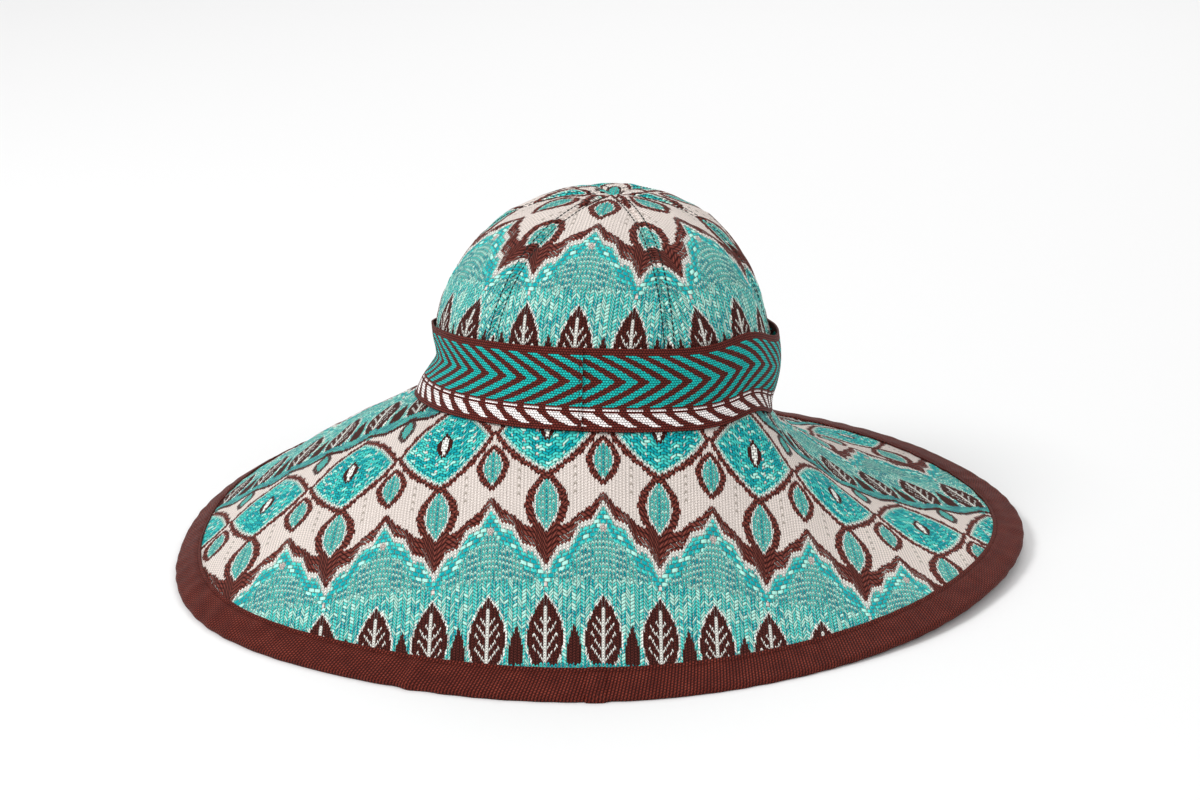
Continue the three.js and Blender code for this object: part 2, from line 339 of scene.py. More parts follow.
def make_cloth(name, face, back, flat, joined=False):
    """A closed cloth. face and back are (rows, columns, 3) and flat is (rows, columns, 2), in metres.
    The last column of a joined cloth lies on its first, and the two are merged there."""
    numbers = np.arange(face.shape[0] * face.shape[1]).reshape(face.shape[:2])
    front = grid_faces(numbers)
    behind = front[:, ::-1] + numbers.size
    faces = np.concatenate([front, behind, edge_walls(numbers, joined)])
    points = np.concatenate([face.reshape(-1, 3), back.reshape(-1, 3)])
    a, b, c, d = (points[faces[:, corner]] for corner in range(4))
    volume = (np.sum(a * np.cross(b, c)) + np.sum(a * np.cross(c, d))) / 6
    if volume < 0:
        faces = faces[:, ::-1]
    mesh = bpy.data.meshes.new(name)
    mesh.from_pydata(points.tolist(), [], faces.tolist())
    spots = np.concatenate([flat.reshape(-1, 2)] * 2)[faces]
    mesh.uv_layers.new(name="flat cloth").data.foreach_set("uv", spots.reshape(-1))
    sides = np.zeros(len(faces), np.int32)
    sides[len(front):2 * len(front)] = 1
    mesh.polygons.foreach_set("material_index", sides)
    mesh.polygons.foreach_set("use_smooth", np.ones(len(faces), bool))
    merge_doubles(mesh)
    mesh.set_sharp_from_angle(angle=SHARP_ANGLE)
    piece = bpy.data.objects.new(name, mesh)
    bpy.context.scene.collection.objects.link(piece)
    print(f"{name}: {2 * len(faces)} triangles, {abs(volume) * 1e6:.1f} cubic cm")
    return piece


def merge_doubles(mesh):
    """Merges points that lie on each other, such as at the top of the crown."""
    work = bmesh.new()
    work.from_mesh(mesh)
    bmesh.ops.remove_doubles(work, verts=work.verts, dist=SAME_PLACE)
    work.to_mesh(mesh)
    work.free()
    mesh.update()


def compare_with_frame(piece, node):
    """Prints how far the piece's box is from its CAD solid's box, in millimetres."""
    points = np.array([vertex.co for vertex in piece.data.vertices])
    low, high = (np.array(corner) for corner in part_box(node))
    print(f"{piece.name} against {node}:", np.round((points.min(0) - low) / MM, 1),
          np.round((points.max(0) - high) / MM, 1))


def cover(piece, node, face, back):
    """Gives a cloth the materials of its face and its back, and compares it with its CAD solid."""
    piece.data.materials.append(face)
    piece.data.materials.append(back)
    compare_with_frame(piece, node)


print("a grid of 3 by 3 points has", len(grid_faces(np.arange(9).reshape(3, 3))), "faces")


# %% [markdown]
# ## Patterns written as sums
# A knitted pattern is a rule: the colour of each stitch depends on its row and column. Blender's Math
# nodes can work that rule out at every point, but a long rule is hard to read as a list of nodes. The
# small class below lets a rule be written as ordinary arithmetic, and adds one Math node for each
# sign. Math nodes are the same in materials and in Geometry Nodes, so both can use it.


# %% Arithmetic that builds nodes
class Field:
    """A number that a node tree works out at every point, written in sums as plain numbers are."""

    def __init__(self, tree, source):
        self.tree = tree
        self.source = source

    def maths(self, operation, *others):
        node = self.tree.nodes.new("ShaderNodeMath")
        node.operation = operation
        for socket, value in zip(node.inputs, (self, *others)):
            plug(self.tree, value, socket)
        return Field(self.tree, node.outputs[0])

    def __add__(self, other):
        return self.maths("ADD", other)

    def __sub__(self, other):
        return self.maths("SUBTRACT", other)

    def __rsub__(self, other):
        return Field(self.tree, other).maths("SUBTRACT", self)

    def __mul__(self, other):
        return self.maths("MULTIPLY", other)

    def __truediv__(self, other):
        return self.maths("DIVIDE", other)

    def __abs__(self):
        return self.maths("ABSOLUTE")

    def __lt__(self, other):
        return self.maths("LESS_THAN", other)

    def __gt__(self, other):
        return self.maths("GREATER_THAN", other)

    def __and__(self, other):
        return self.maths("MINIMUM", other)

    def __or__(self, other):
        return self.maths("MAXIMUM", other)

    def __invert__(self):
        return 1.0 - self

    __radd__ = __add__

    def floor(self):
        return self.maths("FLOOR")

    def fraction(self):
        return self.maths("FRACT")

    def wave(self):
        """A cosine that repeats once for each whole number."""
        return (self * (2 * math.pi)).maths("COSINE")

    def zigzag(self):
        """A triangle wave from 0 to 1 that repeats once for each whole number."""
        return abs((self.fraction() - 0.5) * 2)


def fraction(value):
    """What is left after the whole number, for a field or for plain numbers."""
    return value.fraction() if isinstance(value, Field) else value - np.floor(value)


def plug(tree, value, socket):
    """Sets a socket to a number or a colour, or links it to where a value comes from."""
    source = value.source if isinstance(value, Field) else value
    if isinstance(source, (int, float, tuple)):
        socket.default_value = source
    else:
        tree.links.new(source, socket)


print("2.25 without its whole number is", float(fraction(2.25)))


# %% Small helpers for materials
LOOSE_FIBRES = 3.0
CLOTH_SPECULAR = 0.12
SHEEN_ROUGHNESS = 0.5


def linear(red, green, blue):
    """A screen colour from 0 to 255, as the light values that Blender works in."""
    def one(value):
        share = value / 255
        return share / 12.92 if share <= 0.04045 else ((share + 0.055) / 1.055) ** 2.4
    return (one(red), one(green), one(blue), 1.0)


def new_material(name):
    """An empty material with a shader, and its tree."""
    material = bpy.data.materials.new(name)
    material.use_nodes = True
    return material, material.node_tree, material.node_tree.nodes["Principled BSDF"]


def flat_cloth(tree):
    """The place on the flat cloth, across and up, in millimetres."""
    uv = tree.nodes.new("ShaderNodeUVMap")
    uv.uv_map = "flat cloth"
    split = tree.nodes.new("ShaderNodeSeparateXYZ")
    tree.links.new(uv.outputs["UV"], split.inputs["Vector"])
    return Field(tree, split.outputs["X"]) * 1000.0, Field(tree, split.outputs["Y"]) * 1000.0


def vector_of(tree, x, y, z):
    """One vector from three numbers."""
    node = tree.nodes.new("ShaderNodeCombineXYZ")
    for axis, value in zip("XYZ", (x, y, z)):
        plug(tree, value, node.inputs[axis])
    return node.outputs["Vector"]


def mix(tree, blend_type, factor, under, over):
    """Mixes two colours in one of Blender's ways."""
    node = tree.nodes.new("ShaderNodeMix")
    node.data_type = "RGBA"
    node.blend_type = blend_type
    for name, value in (("Factor", factor), ("A", under), ("B", over)):
        plug(tree, value, node.inputs[name])
    return node.outputs["Result"]


def paint(tree, under, mask, over):
    """Lays one colour over another where the mask is 1."""
    return mix(tree, "MIX", mask, under, over)


def shade(tree, colour, tone):
    """Multiplies a colour by a number."""
    return mix(tree, "MULTIPLY", 1.0, colour, vector_of(tree, tone, tone, tone))


def chance(tree, x, y, seed):
    """A number from 0 to 1 that is the same all over one stitch, and differs in the next."""
    noise = tree.nodes.new("ShaderNodeTexWhiteNoise")
    noise.noise_dimensions = "3D"
    tree.links.new(vector_of(tree, x, y, seed), noise.inputs["Vector"])
    return Field(tree, noise.outputs["Value"])


def fibres(tree, x, y, scale):
    """Soft noise from 0 to 1 for the loose fibres of the yarn."""
    noise = tree.nodes.new("ShaderNodeTexNoise")
    noise.inputs["Scale"].default_value = scale
    noise.inputs["Detail"].default_value = 3.0
    tree.links.new(vector_of(tree, x, y, 0.0), noise.inputs["Vector"])
    return Field(tree, noise.outputs["Fac"])


def finish_cloth(tree, shader, colour, height, depth, roughness, sheen):
    """Gives a cloth its colour, its small relief and its soft sheen."""
    tree.links.new(colour, shader.inputs["Base Color"])
    bump = tree.nodes.new("ShaderNodeBump")
    bump.inputs["Distance"].default_value = depth
    bump.inputs["Strength"].default_value = 1.0
    plug(tree, height, bump.inputs["Height"])
    tree.links.new(bump.outputs["Normal"], shader.inputs["Normal"])
    shader.inputs["Roughness"].default_value = roughness
    shader.inputs["Specular IOR Level"].default_value = CLOTH_SPECULAR
    shader.inputs["Sheen Weight"].default_value = sheen
    shader.inputs["Sheen Roughness"].default_value = SHEEN_ROUGHNESS


YARN = {
    "cream": linear(250, 237, 229),
    # painted shade for the holes in the cream
    "cream shade": linear(190, 178, 168),
    "mint": linear(172, 235, 220),
    "turquoise": linear(68, 202, 192),
    "teal": linear(2, 160, 166),
    "brown": linear(66, 19, 13),
    # a painted highlight for the tops of brown yarn and threads, and also the colour of brown specks on
    # the back
    "brown highlight and speck": linear(150, 78, 66),
    "edging": linear(246, 246, 238),
    "eyelet": linear(216, 204, 196),
    "ribbon teal": linear(26, 178, 172),
    "ribbon cream": linear(250, 242, 240),
    "ribbon brown": linear(84, 26, 20),
    "rim brown": linear(88, 25, 17),
    # a painted highlight colour for the crests of the rim ribbon's ribs
    "rim brown highlight": linear(168, 84, 66),
}
print("yarns:", list(YARN))

# %% [markdown]
# ## The knitted cloth
# Machine knitting is rows of small V-shaped stitches, here 1.75 mm wide. Where two yarns meet, the
# edge is a row of little teeth, because half a stitch is all one colour. To get those teeth, the
# place on the cloth is first moved to the middle of its half stitch, and only then asked for its
# colour. The rows also rise and fall, as they do where a knitter adds and drops stitches. Where the
# yarn is carried in long floats it makes thick strokes, slanting ones in the brown and level ones in
# the turquoise.

# %% Which stitch a point is on
WALE = 1.75
COURSE = 1.5
LEG_SLOPE = 0.8
MOTIF_PITCH = 56.0
HALF = MOTIF_PITCH / 2
REPEAT = 168.0
ROW_WAVE = 4.5
BRAID_WIDE = 4.4
BRAID_HIGH = 1.9
BRAID_LEAN = 1.3
HOLE_NARROW = 4.0
HOLE_SHORT = 2.2


def squared(value):
    return value * value


def row_wave(across):
    """How far the rows of stitches rise and fall across the cloth."""
    return (across / MOTIF_PITCH).wave() * -ROW_WAVE


def find_stitch(across, up):
    """The half stitch under a point: its number, its row, its middle, and the place inside it."""
    half = (across * 2 / WALE).floor()
    from_spine = abs((across / WALE).fraction() - 0.5)
    rows = (up + row_wave(across)) / COURSE - from_spine * (2 * LEG_SLOPE)
    row = rows.floor()
    middle_across = (half + 0.5) * (WALE / 2)
    middle_up = (row + 0.5 + LEG_SLOPE / 2) * COURSE - row_wave(middle_across)
    return half, row, middle_across, middle_up, from_spine, rows.fraction()


def find_stroke(across, from_line, high, wide, lean, step):
    """The stroke under a point: its number, its row and its bulge. Each row lies a step further on."""
    rows = from_line / high
    place = across / wide + rows * lean + rows.floor() * step
    upward = rows.fraction() * 2 - 1.0
    sideward = place.fraction() * 2 - 1.0
    bulge = (1.0 - squared(squared(upward))) * (1.0 - squared(sideward))
    return place.floor(), rows.floor(), bulge


def find_braid(across, up):
    """The stroke under a point where the strokes lean to and fro like a braid."""
    column = across / BRAID_WIDE
    rows = (up + row_wave(across)) / BRAID_HIGH + column.zigzag() * BRAID_LEAN
    sideward = (column * 2).fraction() * 2 - 1.0
    bulge = (1.0 - abs(rows.fraction() * 2 - 1.0)) * (1.0 - squared(squared(sideward)))
    return (column * 2).floor(), rows.floor(), bulge


def stitch_hole(from_spine, in_row):
    """The small gap inside each V, from 0 to 1."""
    return (1.0 - squared(from_spine * HOLE_NARROW) - squared((in_row - 0.5) * HOLE_SHORT)) | 0.0


print("one repeat:", MOTIF_PITCH / WALE, "stitches across and", REPEAT / COURSE, "rows up")

# %% [markdown]
# The pattern is made of plain old knitting shapes: leaves with ribs, a zigzag called flame stitch,
# seeds, and a chain of diamonds. One repeat is 56 mm wide and 168 mm tall, and each half of it mirrors
# the other. Every shape is a short rule that is small inside the shape and passes 1 at its edge, so
# its outline, its rim and its filling are the same rule with other limits.

# %% The outlines of the motifs
FLAME_LOW = 55.0
FLAME_TALL = 33.0
FLAME_THIN = 8.5
FLAME_SWELL = 80.0
TOOTH_PITCH = 11.2
TOOTH_TALL = 9.0
CREAM_TOP = 160.0
DIAMOND_UP = 130.0
DIAMOND_HIGH = 28.0
DIAMOND_BULGE = 0.45

# The middle, half the height and half the width of each motif that is shaped like a leaf
LEAF = (14.0, 23.0, 8.6)
SMALL_LEAF = (2.0, 20.0, 3.8)
SEED = (86.0, 19.0, 11.0)
DROP = (110.0, 14.0, 8.5)
HEART = (DIAMOND_UP, 9.0, 4.4)
BUD = (152.5, 10.0, 5.6)


def from_column(across):
    """The distance from the nearest middle line of the pattern, from 0 to half a pitch."""
    return abs(fraction(across / MOTIF_PITCH + 0.5) - 0.5) * MOTIF_PITCH


def small_teeth(x):
    return abs(fraction(x / TOOTH_PITCH) - 0.5) * TOOTH_TALL


def flame(x):
    """The height of the zigzag: one tall tooth for each motif, with small teeth on its sides."""
    return (1.0 - x / HALF) * FLAME_TALL + FLAME_LOW + small_teeth(x) - TOOTH_TALL / 2


def flame_width(x):
    """How wide the brown of the zigzag is: widest in the valleys."""
    return x * x / FLAME_SWELL + FLAME_THIN - small_teeth(x) * 0.7


def diamond(beside, y):
    """0 at the middle of a diamond and 1 on its edge, which bulges a little."""
    a = beside / (HALF - 0.6)
    b = abs(y - DIAMOND_UP) / DIAMOND_HIGH
    return a + b - a * b * DIAMOND_BULGE


def leaf(beside, y, sizes):
    """Below 1 inside a pointed leaf that stands upright."""
    middle, high, wide = sizes
    return beside / wide + squared((y - middle) / high)


def between_columns(x, wide):
    """A mask of the strip in the middle between two columns of the pattern."""
    return HALF - x < wide


print("the flame's height in mm, from peak to valley:", [float(flame(x)) for x in (0.0, 14.0, 28.0)])


# %% The colours of the turquoise ground
BRAID_TOP = 44.0
ROPE_FROM = 2.6
ROPE_TO = 11.5
ROPE_MIDDLE = 7.6
ROPE_CORE = 2.4
LADDER_FROM_MIDDLE = 14.0
LADDER_PITCH = 3.6
EYELET_UP = 74.0


def lay(tree, colour, layers):
    """Lays yarns over a colour, one after another. A layer is a mask and a yarn, or a mixed colour."""
    for mask, yarn in layers:
        colour = paint(tree, colour, mask, YARN[yarn] if isinstance(yarn, str) else yarn)
    return colour


def turquoise_ground(tree, y, x, row, speck, float_pick, bulge, braid_pick):
    """Mint and turquoise stitches with thick teal ropes, braids, ladders and eyelets."""
    below = flame(x) - y
    braid = (y < BRAID_TOP + speck * 3.0) | (between_columns(x, 3.6) & (below > 10.4))
    strand_layers = [(braid_pick < 0.34, "mint"), (braid_pick > 0.72 + y * 0.003, "teal")]
    strand = lay(tree, YARN["turquoise"], strand_layers)
    rope = (below > ROPE_FROM) & (below < ROPE_TO)
    rope_core = abs(below - ROPE_MIDDLE) < ROPE_CORE
    rope_layers = [(rope_core, "teal"), ((float_pick > 0.8) | (bulge < 0.3), "mint")]
    rope_yarn = lay(tree, YARN["turquoise"], rope_layers)
    ladder = (abs(abs(x - LADDER_FROM_MIDDLE) - 5.0) < 2.6) & (y > 46.0) & (below > 12.0)
    rung = ((y + x * 0.25) / LADDER_PITCH).fraction() < 0.55
    eye = squared(x / 2.0) + squared((y - EYELET_UP) / 2.4) < 1.0
    column = (abs(x - HALF) < 1.0) & ((y / 5.2).fraction() < 0.36) & (abs(y - 38.0) < 9.5)
    colour = lay(tree, YARN["turquoise"], [
        (((row / 2.0).fraction() < 0.25) & (speck < 0.75), "mint"),
        (speck > 0.85, "teal"),
        (braid, strand),
        (rope, rope_yarn),
        (ladder, lay(tree, YARN["mint"], [(rung, "teal")])),
        (eye | column, "eyelet"),
    ])
    return colour, rope, braid & ~rope


print("the rope is", round(ROPE_TO - ROPE_FROM, 1), "mm wide")


# %% The colours of the motifs
LEVEL_PITCH = 6.8
NEXT_REPEAT = 161.0
BORDER_WIDE = 3.0


def knit_colour(tree, across, up, row, float_pick, bulge, braid_pick):
    """The colour at the middle of a half stitch, and masks: floats, braids, brown yarn, plain cream."""
    y = (up / REPEAT).fraction() * REPEAT
    x = from_column(across)
    h = HALF - x
    near = x & h
    above = y - flame(x)
    # x is measured from a motif's middle line and h from the line half way to the next motif,
    # near is the smaller of the two, y is the height in the repeat, and above starts at the flame.
    speck = chance(tree, across, row, 1.0)
    second = chance(tree, across, row, 2.0)
    colour, rope, braid = turquoise_ground(tree, y, x, row, speck, float_pick, bulge, braid_pick)
    dashed = (row / 2.0).fraction() < 0.25

    # Leaves with a dotted midrib and slanting side ribs
    blade = leaf(near, y, LEAF)
    leaves = (blade & leaf(abs(near - HALF / 2), y, SMALL_LEAF)) < 1.0
    ribs = ((y - near * 1.6) / 6.6).fraction() < 0.22
    veins = (near < 0.7) | (ribs & (near > 1.0) & (blade < 0.74) & (y < 25.5))
    colour = lay(tree, colour, [
        ((blade < 1.12) & (second < 0.8), "edging"),
        (leaves, "brown"),
        (veins & (y < 30.0) & (y > 1.0), "edging"),
    ])

    # The flame: a thick brown zigzag under cream cloth, with a pale fringe below it
    cream_zone = (above > 0.0) & (y < CREAM_TOP)
    holes = (abs(x - HALF / 2) < 0.9) & ((y / 4.6).fraction() < 0.3) & (above > 20.0) & (y < 112.0)
    fringe = (above > -2.4) & (above < 1.4) & (y < 120.0)
    flame_brown = (above > 1.0) & (above < flame_width(x))
    colour = lay(tree, colour, [
        (cream_zone, "cream"),
        # painted shade in a column of small holes in the cream
        (cream_zone & holes, "cream shade"),
        (fringe & ((second < 0.85) | (float_pick < 0.5)), "edging"),
        (flame_brown, "brown"),
        (flame_brown & (above < 6.0) & (bulge < 0.3) & (float_pick < 0.34), "edging"),
    ])

    # Seeds that hang between the teeth of the flame, and drops that stand over its peaks
    pod = leaf(h, y, SEED) & leaf(x, y, DROP)
    colour = lay(tree, colour, [
        (pod < 1.0, "brown"),
        (pod < 0.6, "edging"),
        (pod < 0.5, "turquoise"),
        ((pod < 0.4) & dashed & (speck < 0.7), "mint"),
        ((pod < 0.3) & (near < 0.9) & dashed, "teal"),
    ])

    # A chain of diamonds, filled with thick strokes of teal and turquoise
    edge = diamond(h, y)
    outline = 1.06 + (y / 5.6).zigzag() * -0.04
    heart = leaf(h, y, HEART)
    gaps = ((across / LEVEL_PITCH).fraction() < 0.2) & (((y + 1.0) / 4.6).fraction() < 0.26)
    filled = lay(tree, YARN["turquoise"], [
        (float_pick < 0.45, "teal"),
        ((float_pick > 0.9) | (edge > 0.84), "mint"),
        (gaps & (edge < 0.8), "eyelet"),
        (heart < 1.0, "brown"),
        (heart < 0.5, "edging"),
    ])
    colour = lay(tree, colour, [
        (edge < outline, "brown"),
        (edge < 0.92, "edging"),
        (edge < 0.88, filled),
    ])

    # Small buds in the corners between the diamonds, and the edge of the next repeat
    bud = leaf(x, y, BUD)
    top = y - (NEXT_REPEAT - near * 0.35)
    colour = lay(tree, colour, [
        (bud < 1.0, "brown"),
        (bud < 0.55, "turquoise"),
        (top > 0.0, "brown"),
        (top > BORDER_WIDE, "turquoise"),
        ((top > BORDER_WIDE) & (float_pick < 0.5), "teal"),
    ])

    # Masks that say where the yarn is thick, and where it is dark or plain
    rings = ((pod < 1.0) & (pod > 0.6)) | ((edge < outline) & (edge > 0.92))
    floats = flame_brown | rings | (~cream_zone & rope & ~leaves) | (edge < 0.86)
    brown = flame_brown | (leaves & ~veins) | ((top > 0.0) & (top < BORDER_WIDE)) | rings
    calm = cream_zone & ~flame_brown & (pod > 1.0) & (edge > outline) & (bud > 1.0) & (top < 0.0)
    return colour, floats, braid & ~leaves & ~cream_zone, brown, calm


print("diamonds reach from", DIAMOND_UP - DIAMOND_HIGH, "to", DIAMOND_UP + DIAMOND_HIGH, "mm")

# %% [markdown]
# A thick yarn catches the light on its top and leaves a dark line beside it. So each kind of stroke
# also gives its bulge, and that one number does three things: it paints shade into the grooves, paints
# a highlight on the tops of the brown yarn, and drives the small bumps that the lamps show.

# %% The knit's face
FLAME_TOP = 22.0
STROKE_HIGH = 3.0
STROKE_WIDE = 2.4
BEAD_HIGH = 2.3
BEAD_HIGH_IN_DIAMONDS = 1.7
BEAD_WIDE = 3.4
LEVEL_RISE = 1.6
KNIT_BUMP = 0.7 * MM
DYE_PATCHES = 0.05


def blend(under, over, mask):
    """One number where the mask is 0, and another where it is 1."""
    return under + (over - under) * mask


def thick_strokes(across, up):
    """The thick stroke under a point: slanting in the flame, and level in the rope and the diamonds."""
    above = (up / REPEAT).fraction() * REPEAT - flame(from_column(across))
    in_diamonds = above > FLAME_TOP
    in_flame = (above > 0.0) & (above < FLAME_TOP)
    slanting = find_stroke(across, above, STROKE_HIGH, STROKE_WIDE, lean=1.0, step=0.0)
    level = up + row_wave(across) + (across / LEVEL_PITCH).zigzag() * in_diamonds * LEVEL_RISE
    high = BEAD_HIGH - in_diamonds * (BEAD_HIGH - BEAD_HIGH_IN_DIAMONDS)
    beads = find_stroke(across, level, high, BEAD_WIDE, lean=0.0, step=0.5)
    return [blend(bead, slant, in_flame) for bead, slant in zip(beads, slanting)]


def make_knit_face():
    """The right side of the knitted cloth."""
    material, tree, shader = new_material("knit face")
    across, up = flat_cloth(tree)
    half, row, middle_across, middle_up, from_spine, in_row = find_stitch(across, up)
    stroke_number, stroke_row, bulge = thick_strokes(across, up)
    float_pick = chance(tree, stroke_number, stroke_row, 4.0)
    braid_number, braid_row, braided = find_braid(across, up)
    braid_pick = chance(tree, braid_number, braid_row, 6.0)
    spot = (middle_across, middle_up, row, float_pick, bulge, braid_pick)
    colour, floats, braid, brown, calm = knit_colour(tree, *spot)
    leg = (1.0 - abs(in_row * 2 - 1.0)) * ((((0.5 - from_spine) * 5.0) & 1.0) * 0.5 + 0.5)
    hole = stitch_hole(from_spine, in_row)
    fine = leg * (1.0 - hole)
    raised = blend(blend(fine, braided, braid), bulge, floats)
    # painted shade: the colour darkens in the grooves between stitches and strokes, more gently in the
    # plain cream
    tone = (raised * 2.4 + 0.02) & 1.1
    tone = tone + chance(tree, half, row, 3.0) * 0.2 - floats * ~brown * 0.16
    tone = blend(tone, fine * 0.5 + braided * 0.22 + 0.72, calm * 0.8)
    tone = tone + fibres(tree, across, up, DYE_PATCHES) * 0.1
    colour = lay(tree, colour, [
        (hole * ~floats * ~brown * ~calm * 0.7, "eyelet"),
        # painted highlight on the tops of the brown yarn
        (brown * squared(raised) * 0.5, "brown highlight and speck"),
        # painted shade in the small gap inside each stitch of the plain cream
        (hole * calm * 0.8, "cream shade"),
    ])
    relief = raised * 0.9 + floats * 0.6 + fibres(tree, across, up, LOOSE_FIBRES) * 0.15
    colour = shade(tree, colour, tone)
    finish_cloth(tree, shader, colour, relief, depth=KNIT_BUMP, roughness=0.85, sheen=0.03)
    print("knit face:", len(tree.nodes), "nodes")
    return material


knit_face = make_knit_face()

# %% [markdown]
# The wrong side of such a cloth carries the yarns that the face doesn't need, in short sideways bars.
# It shows under the brim and inside the crown. The same shapes can be made out there, but
# regular specks of the other yarns make them paler and softer.

# %% The knit's back
BACK_BUMP = 0.5 * MM
CARRIED_EVERY = 5.0


def make_knit_back():
    """The wrong side of the knitted cloth: the same motifs, with specks of the other yarns."""
    material, tree, shader = new_material("knit back")
    across, up = flat_cloth(tree)
    column = (across / WALE).floor()
    rows = (up + row_wave(across)) / COURSE + (column * 0.5).fraction()
    row = rows.floor()
    y = ((row * COURSE) / REPEAT).fraction() * REPEAT
    x = from_column((column + 0.5) * WALE)
    h = HALF - x
    pick = chance(tree, column, row, 5.0)
    beat = ((column + row * 2.0) / CARRIED_EVERY).fraction()
    above = y - flame(x)
    cream_zone = (above > 0.0) & (y < CREAM_TOP)
    colour = lay(tree, YARN["turquoise"], [
        (pick < 0.35, "mint"),
        (cream_zone, "cream"),
        ((above > 1.0) & (above < flame_width(x)), "brown"),
        (leaf(x & h, y, LEAF) < 1.0, "brown"),
        (leaf(h, y, SEED) < 0.8, "turquoise"),
        (diamond(h, y) < 1.06, "brown"),
        (diamond(h, y) < 0.9, "turquoise"),
        (abs(beat - 0.6) < 0.15, "turquoise"),
        ((beat > 0.75) & ~cream_zone, "cream"),
        ((beat > 0.75) & cream_zone & (pick < 0.6), "brown highlight and speck"),
    ])
    bar = 1.0 - abs(rows.fraction() * 2 - 1.0)
    bar = bar * (1.0 - squared(squared((across / WALE).fraction() * 2 - 1.0)))
    relief = bar + fibres(tree, across, up, LOOSE_FIBRES) * 0.2
    # painted shade: the colour darkens between the bars, with random tone per stitch
    tone = ((bar * 1.6 + 0.25) & 1.0) + pick * 0.12
    colour = shade(tree, colour, tone)
    finish_cloth(tree, shader, colour, relief, depth=BACK_BUMP, roughness=0.9, sheen=0.03)
    print("knit back:", len(tree.nodes), "nodes")
    return material


knit_back = make_knit_back()

# %% [markdown]
# ## The brim
# The brim is cut from one flat piece in the shape of a wide C, whose ends are sewn together behind, so
# it falls like part of a cone. The rows of the knitting run straight across that C. On the finished
# brim they bend downwards to the left and right. The same thing is done here in reverse: every
# point of the cone is unrolled onto the flat cloth to find its place in the pattern. The thick yarns
# also lift the cloth a little and the seam pulls it in by nearly 2 mm, so both are in the real shape.

# %% The brim's grids
BRIM_TURNS = 600
BRIM_STEPS = 74
CONE_SHARE = 0.73
UNROLLED_FOOT = 134 * MM
PATTERN_AT_RIM = 269 * MM
RIM_REACH = 220 * MM
SECTIONS_CROWD = 1.08
LEAST_HEIGHT = 0.2 * MM
HELD_AT_FOOT = 12 * MM


def unroll(turn, slant):
    """The place on the flat cloth, across and up, of a point of the brim's cone."""
    angle = np.radians(turn) * CONE_SHARE
    far = UNROLLED_FOOT + slant
    return np.stack([far * np.sin(angle), PATTERN_AT_RIM - far * np.cos(angle)], axis=-1)


def ease(low, high, values):
    """Rises smoothly from 0 to 1 between two values."""
    part = np.clip((values - low) / (high - low), 0, 1)
    return part * part * (3 - 2 * part)


def unevenness(across, up, size, seed):
    """Soft uneven swells from -1 to 1, as sums of waves in all directions. size is their width."""
    dice = np.random.default_rng(seed)
    total = np.zeros(np.broadcast(across, up).shape)
    for angle in dice.uniform(0, 2 * math.pi, 9):
        longer = dice.uniform(0.7, 1.6) * size
        run = (across * math.cos(angle) + up * math.sin(angle)) / longer
        total += np.sin(2 * math.pi * run + dice.uniform(0, 2 * math.pi))
    return total / 4.5


def soft_step(distance, width):
    """Rises softly from 0 to 1 as a distance passes 0."""
    return 0.5 + 0.5 * np.tanh(distance / width)


print("the brim's cloth is cut", round(360 * CONE_SHARE), "degrees round")


# %% The relief of the thick yarns and of a seam
STITCH_FROM_SEAM = 2.8 * MM
SEAM_DEEP = 1.9 * MM
SEAM_NARROW = 1.1 * MM
PRESSED_DEEP = 0.5 * MM
PRESSED_NARROW = 0.9 * MM


def rounded_line(distance, width):
    """A rounded ridge that is 1 at a line and falls to 0 on both sides of it."""
    return np.exp(-(distance / width) ** 2)


def motif_relief(flat):
    """How far the thick yarns and the filled motifs stand proud, in millimetres."""
    across, up = flat[..., 0] / MM, flat[..., 1] / MM
    y = fraction(up / REPEAT) * REPEAT
    x = from_column(across)
    above = y - flame(x)
    flame_ridge = soft_step(above, 1.2) * soft_step(flame_width(x) - above, 1.2)
    rope = rounded_line(above + 6.5, 3.0)
    blade = soft_step(1 - leaf(np.minimum(x, HALF - x), y, LEAF), 0.15)
    seed = soft_step(1 - leaf(HALF - x, y, SEED), 0.15)
    edge = diamond(HALF - x, y)
    cushion = soft_step(0.95 - edge, 0.06) * (0.6 + 0.4 * np.cos(np.pi * np.clip(edge, 0, 1)))
    ripple = 0.12 * np.cos(2 * np.pi * (y - ROW_WAVE * np.cos(2 * np.pi * across / MOTIF_PITCH)) / 8.0)
    ground = ripple * soft_step(-above - 10, 2.0) * soft_step(y - 36.0, 2.0)
    return 0.8 * flame_ridge + 0.5 * (rope + blade + seed) + 0.7 * cushion + ground - 0.35


def seam_relief(beside):
    """How the cloth sinks at a seam and under the sewing next to it, at a distance from the seam."""
    pressed = PRESSED_DEEP * rounded_line(beside - STITCH_FROM_SEAM, PRESSED_NARROW)
    return -SEAM_DEEP * rounded_line(beside, SEAM_NARROW) - pressed


def brim_relief(turn, slant, length, flat):
    """How far the brim's cloth stands proud of its smooth shape."""
    across, up = flat[..., 0], flat[..., 1]
    swell = 0.5 * unevenness(across, up, size=34 * MM, seed=11)
    swell = swell + 0.15 * unevenness(across, up, size=12 * MM, seed=12) + motif_relief(flat)
    inside = length - BINDING_WIDTH - slant
    gathers = 0.35 * unevenness(np.radians(turn) * RIM_REACH, inside * 0.2, size=11 * MM, seed=13)
    relief = swell * ease(0, 30 * MM, inside) + gathers * np.exp(-np.abs(inside) / (9 * MM))
    beside = (foot_radius(turn) + slant * 0.8) * np.radians(np.abs(turned_away(turn, 180)))
    seam = seam_relief(beside) * ease(0, HELD_AT_FOOT, slant) * ease(-2 * MM, 4 * MM, inside)
    held = ease(0, HELD_AT_FOOT, slant) * ease(-8 * MM, 4 * MM, inside) * ease(0, 8 * MM, beside)
    return MM * relief * held + seam


print("the seam is", round(-seam_relief(0.0) / MM, 1), "mm deep")


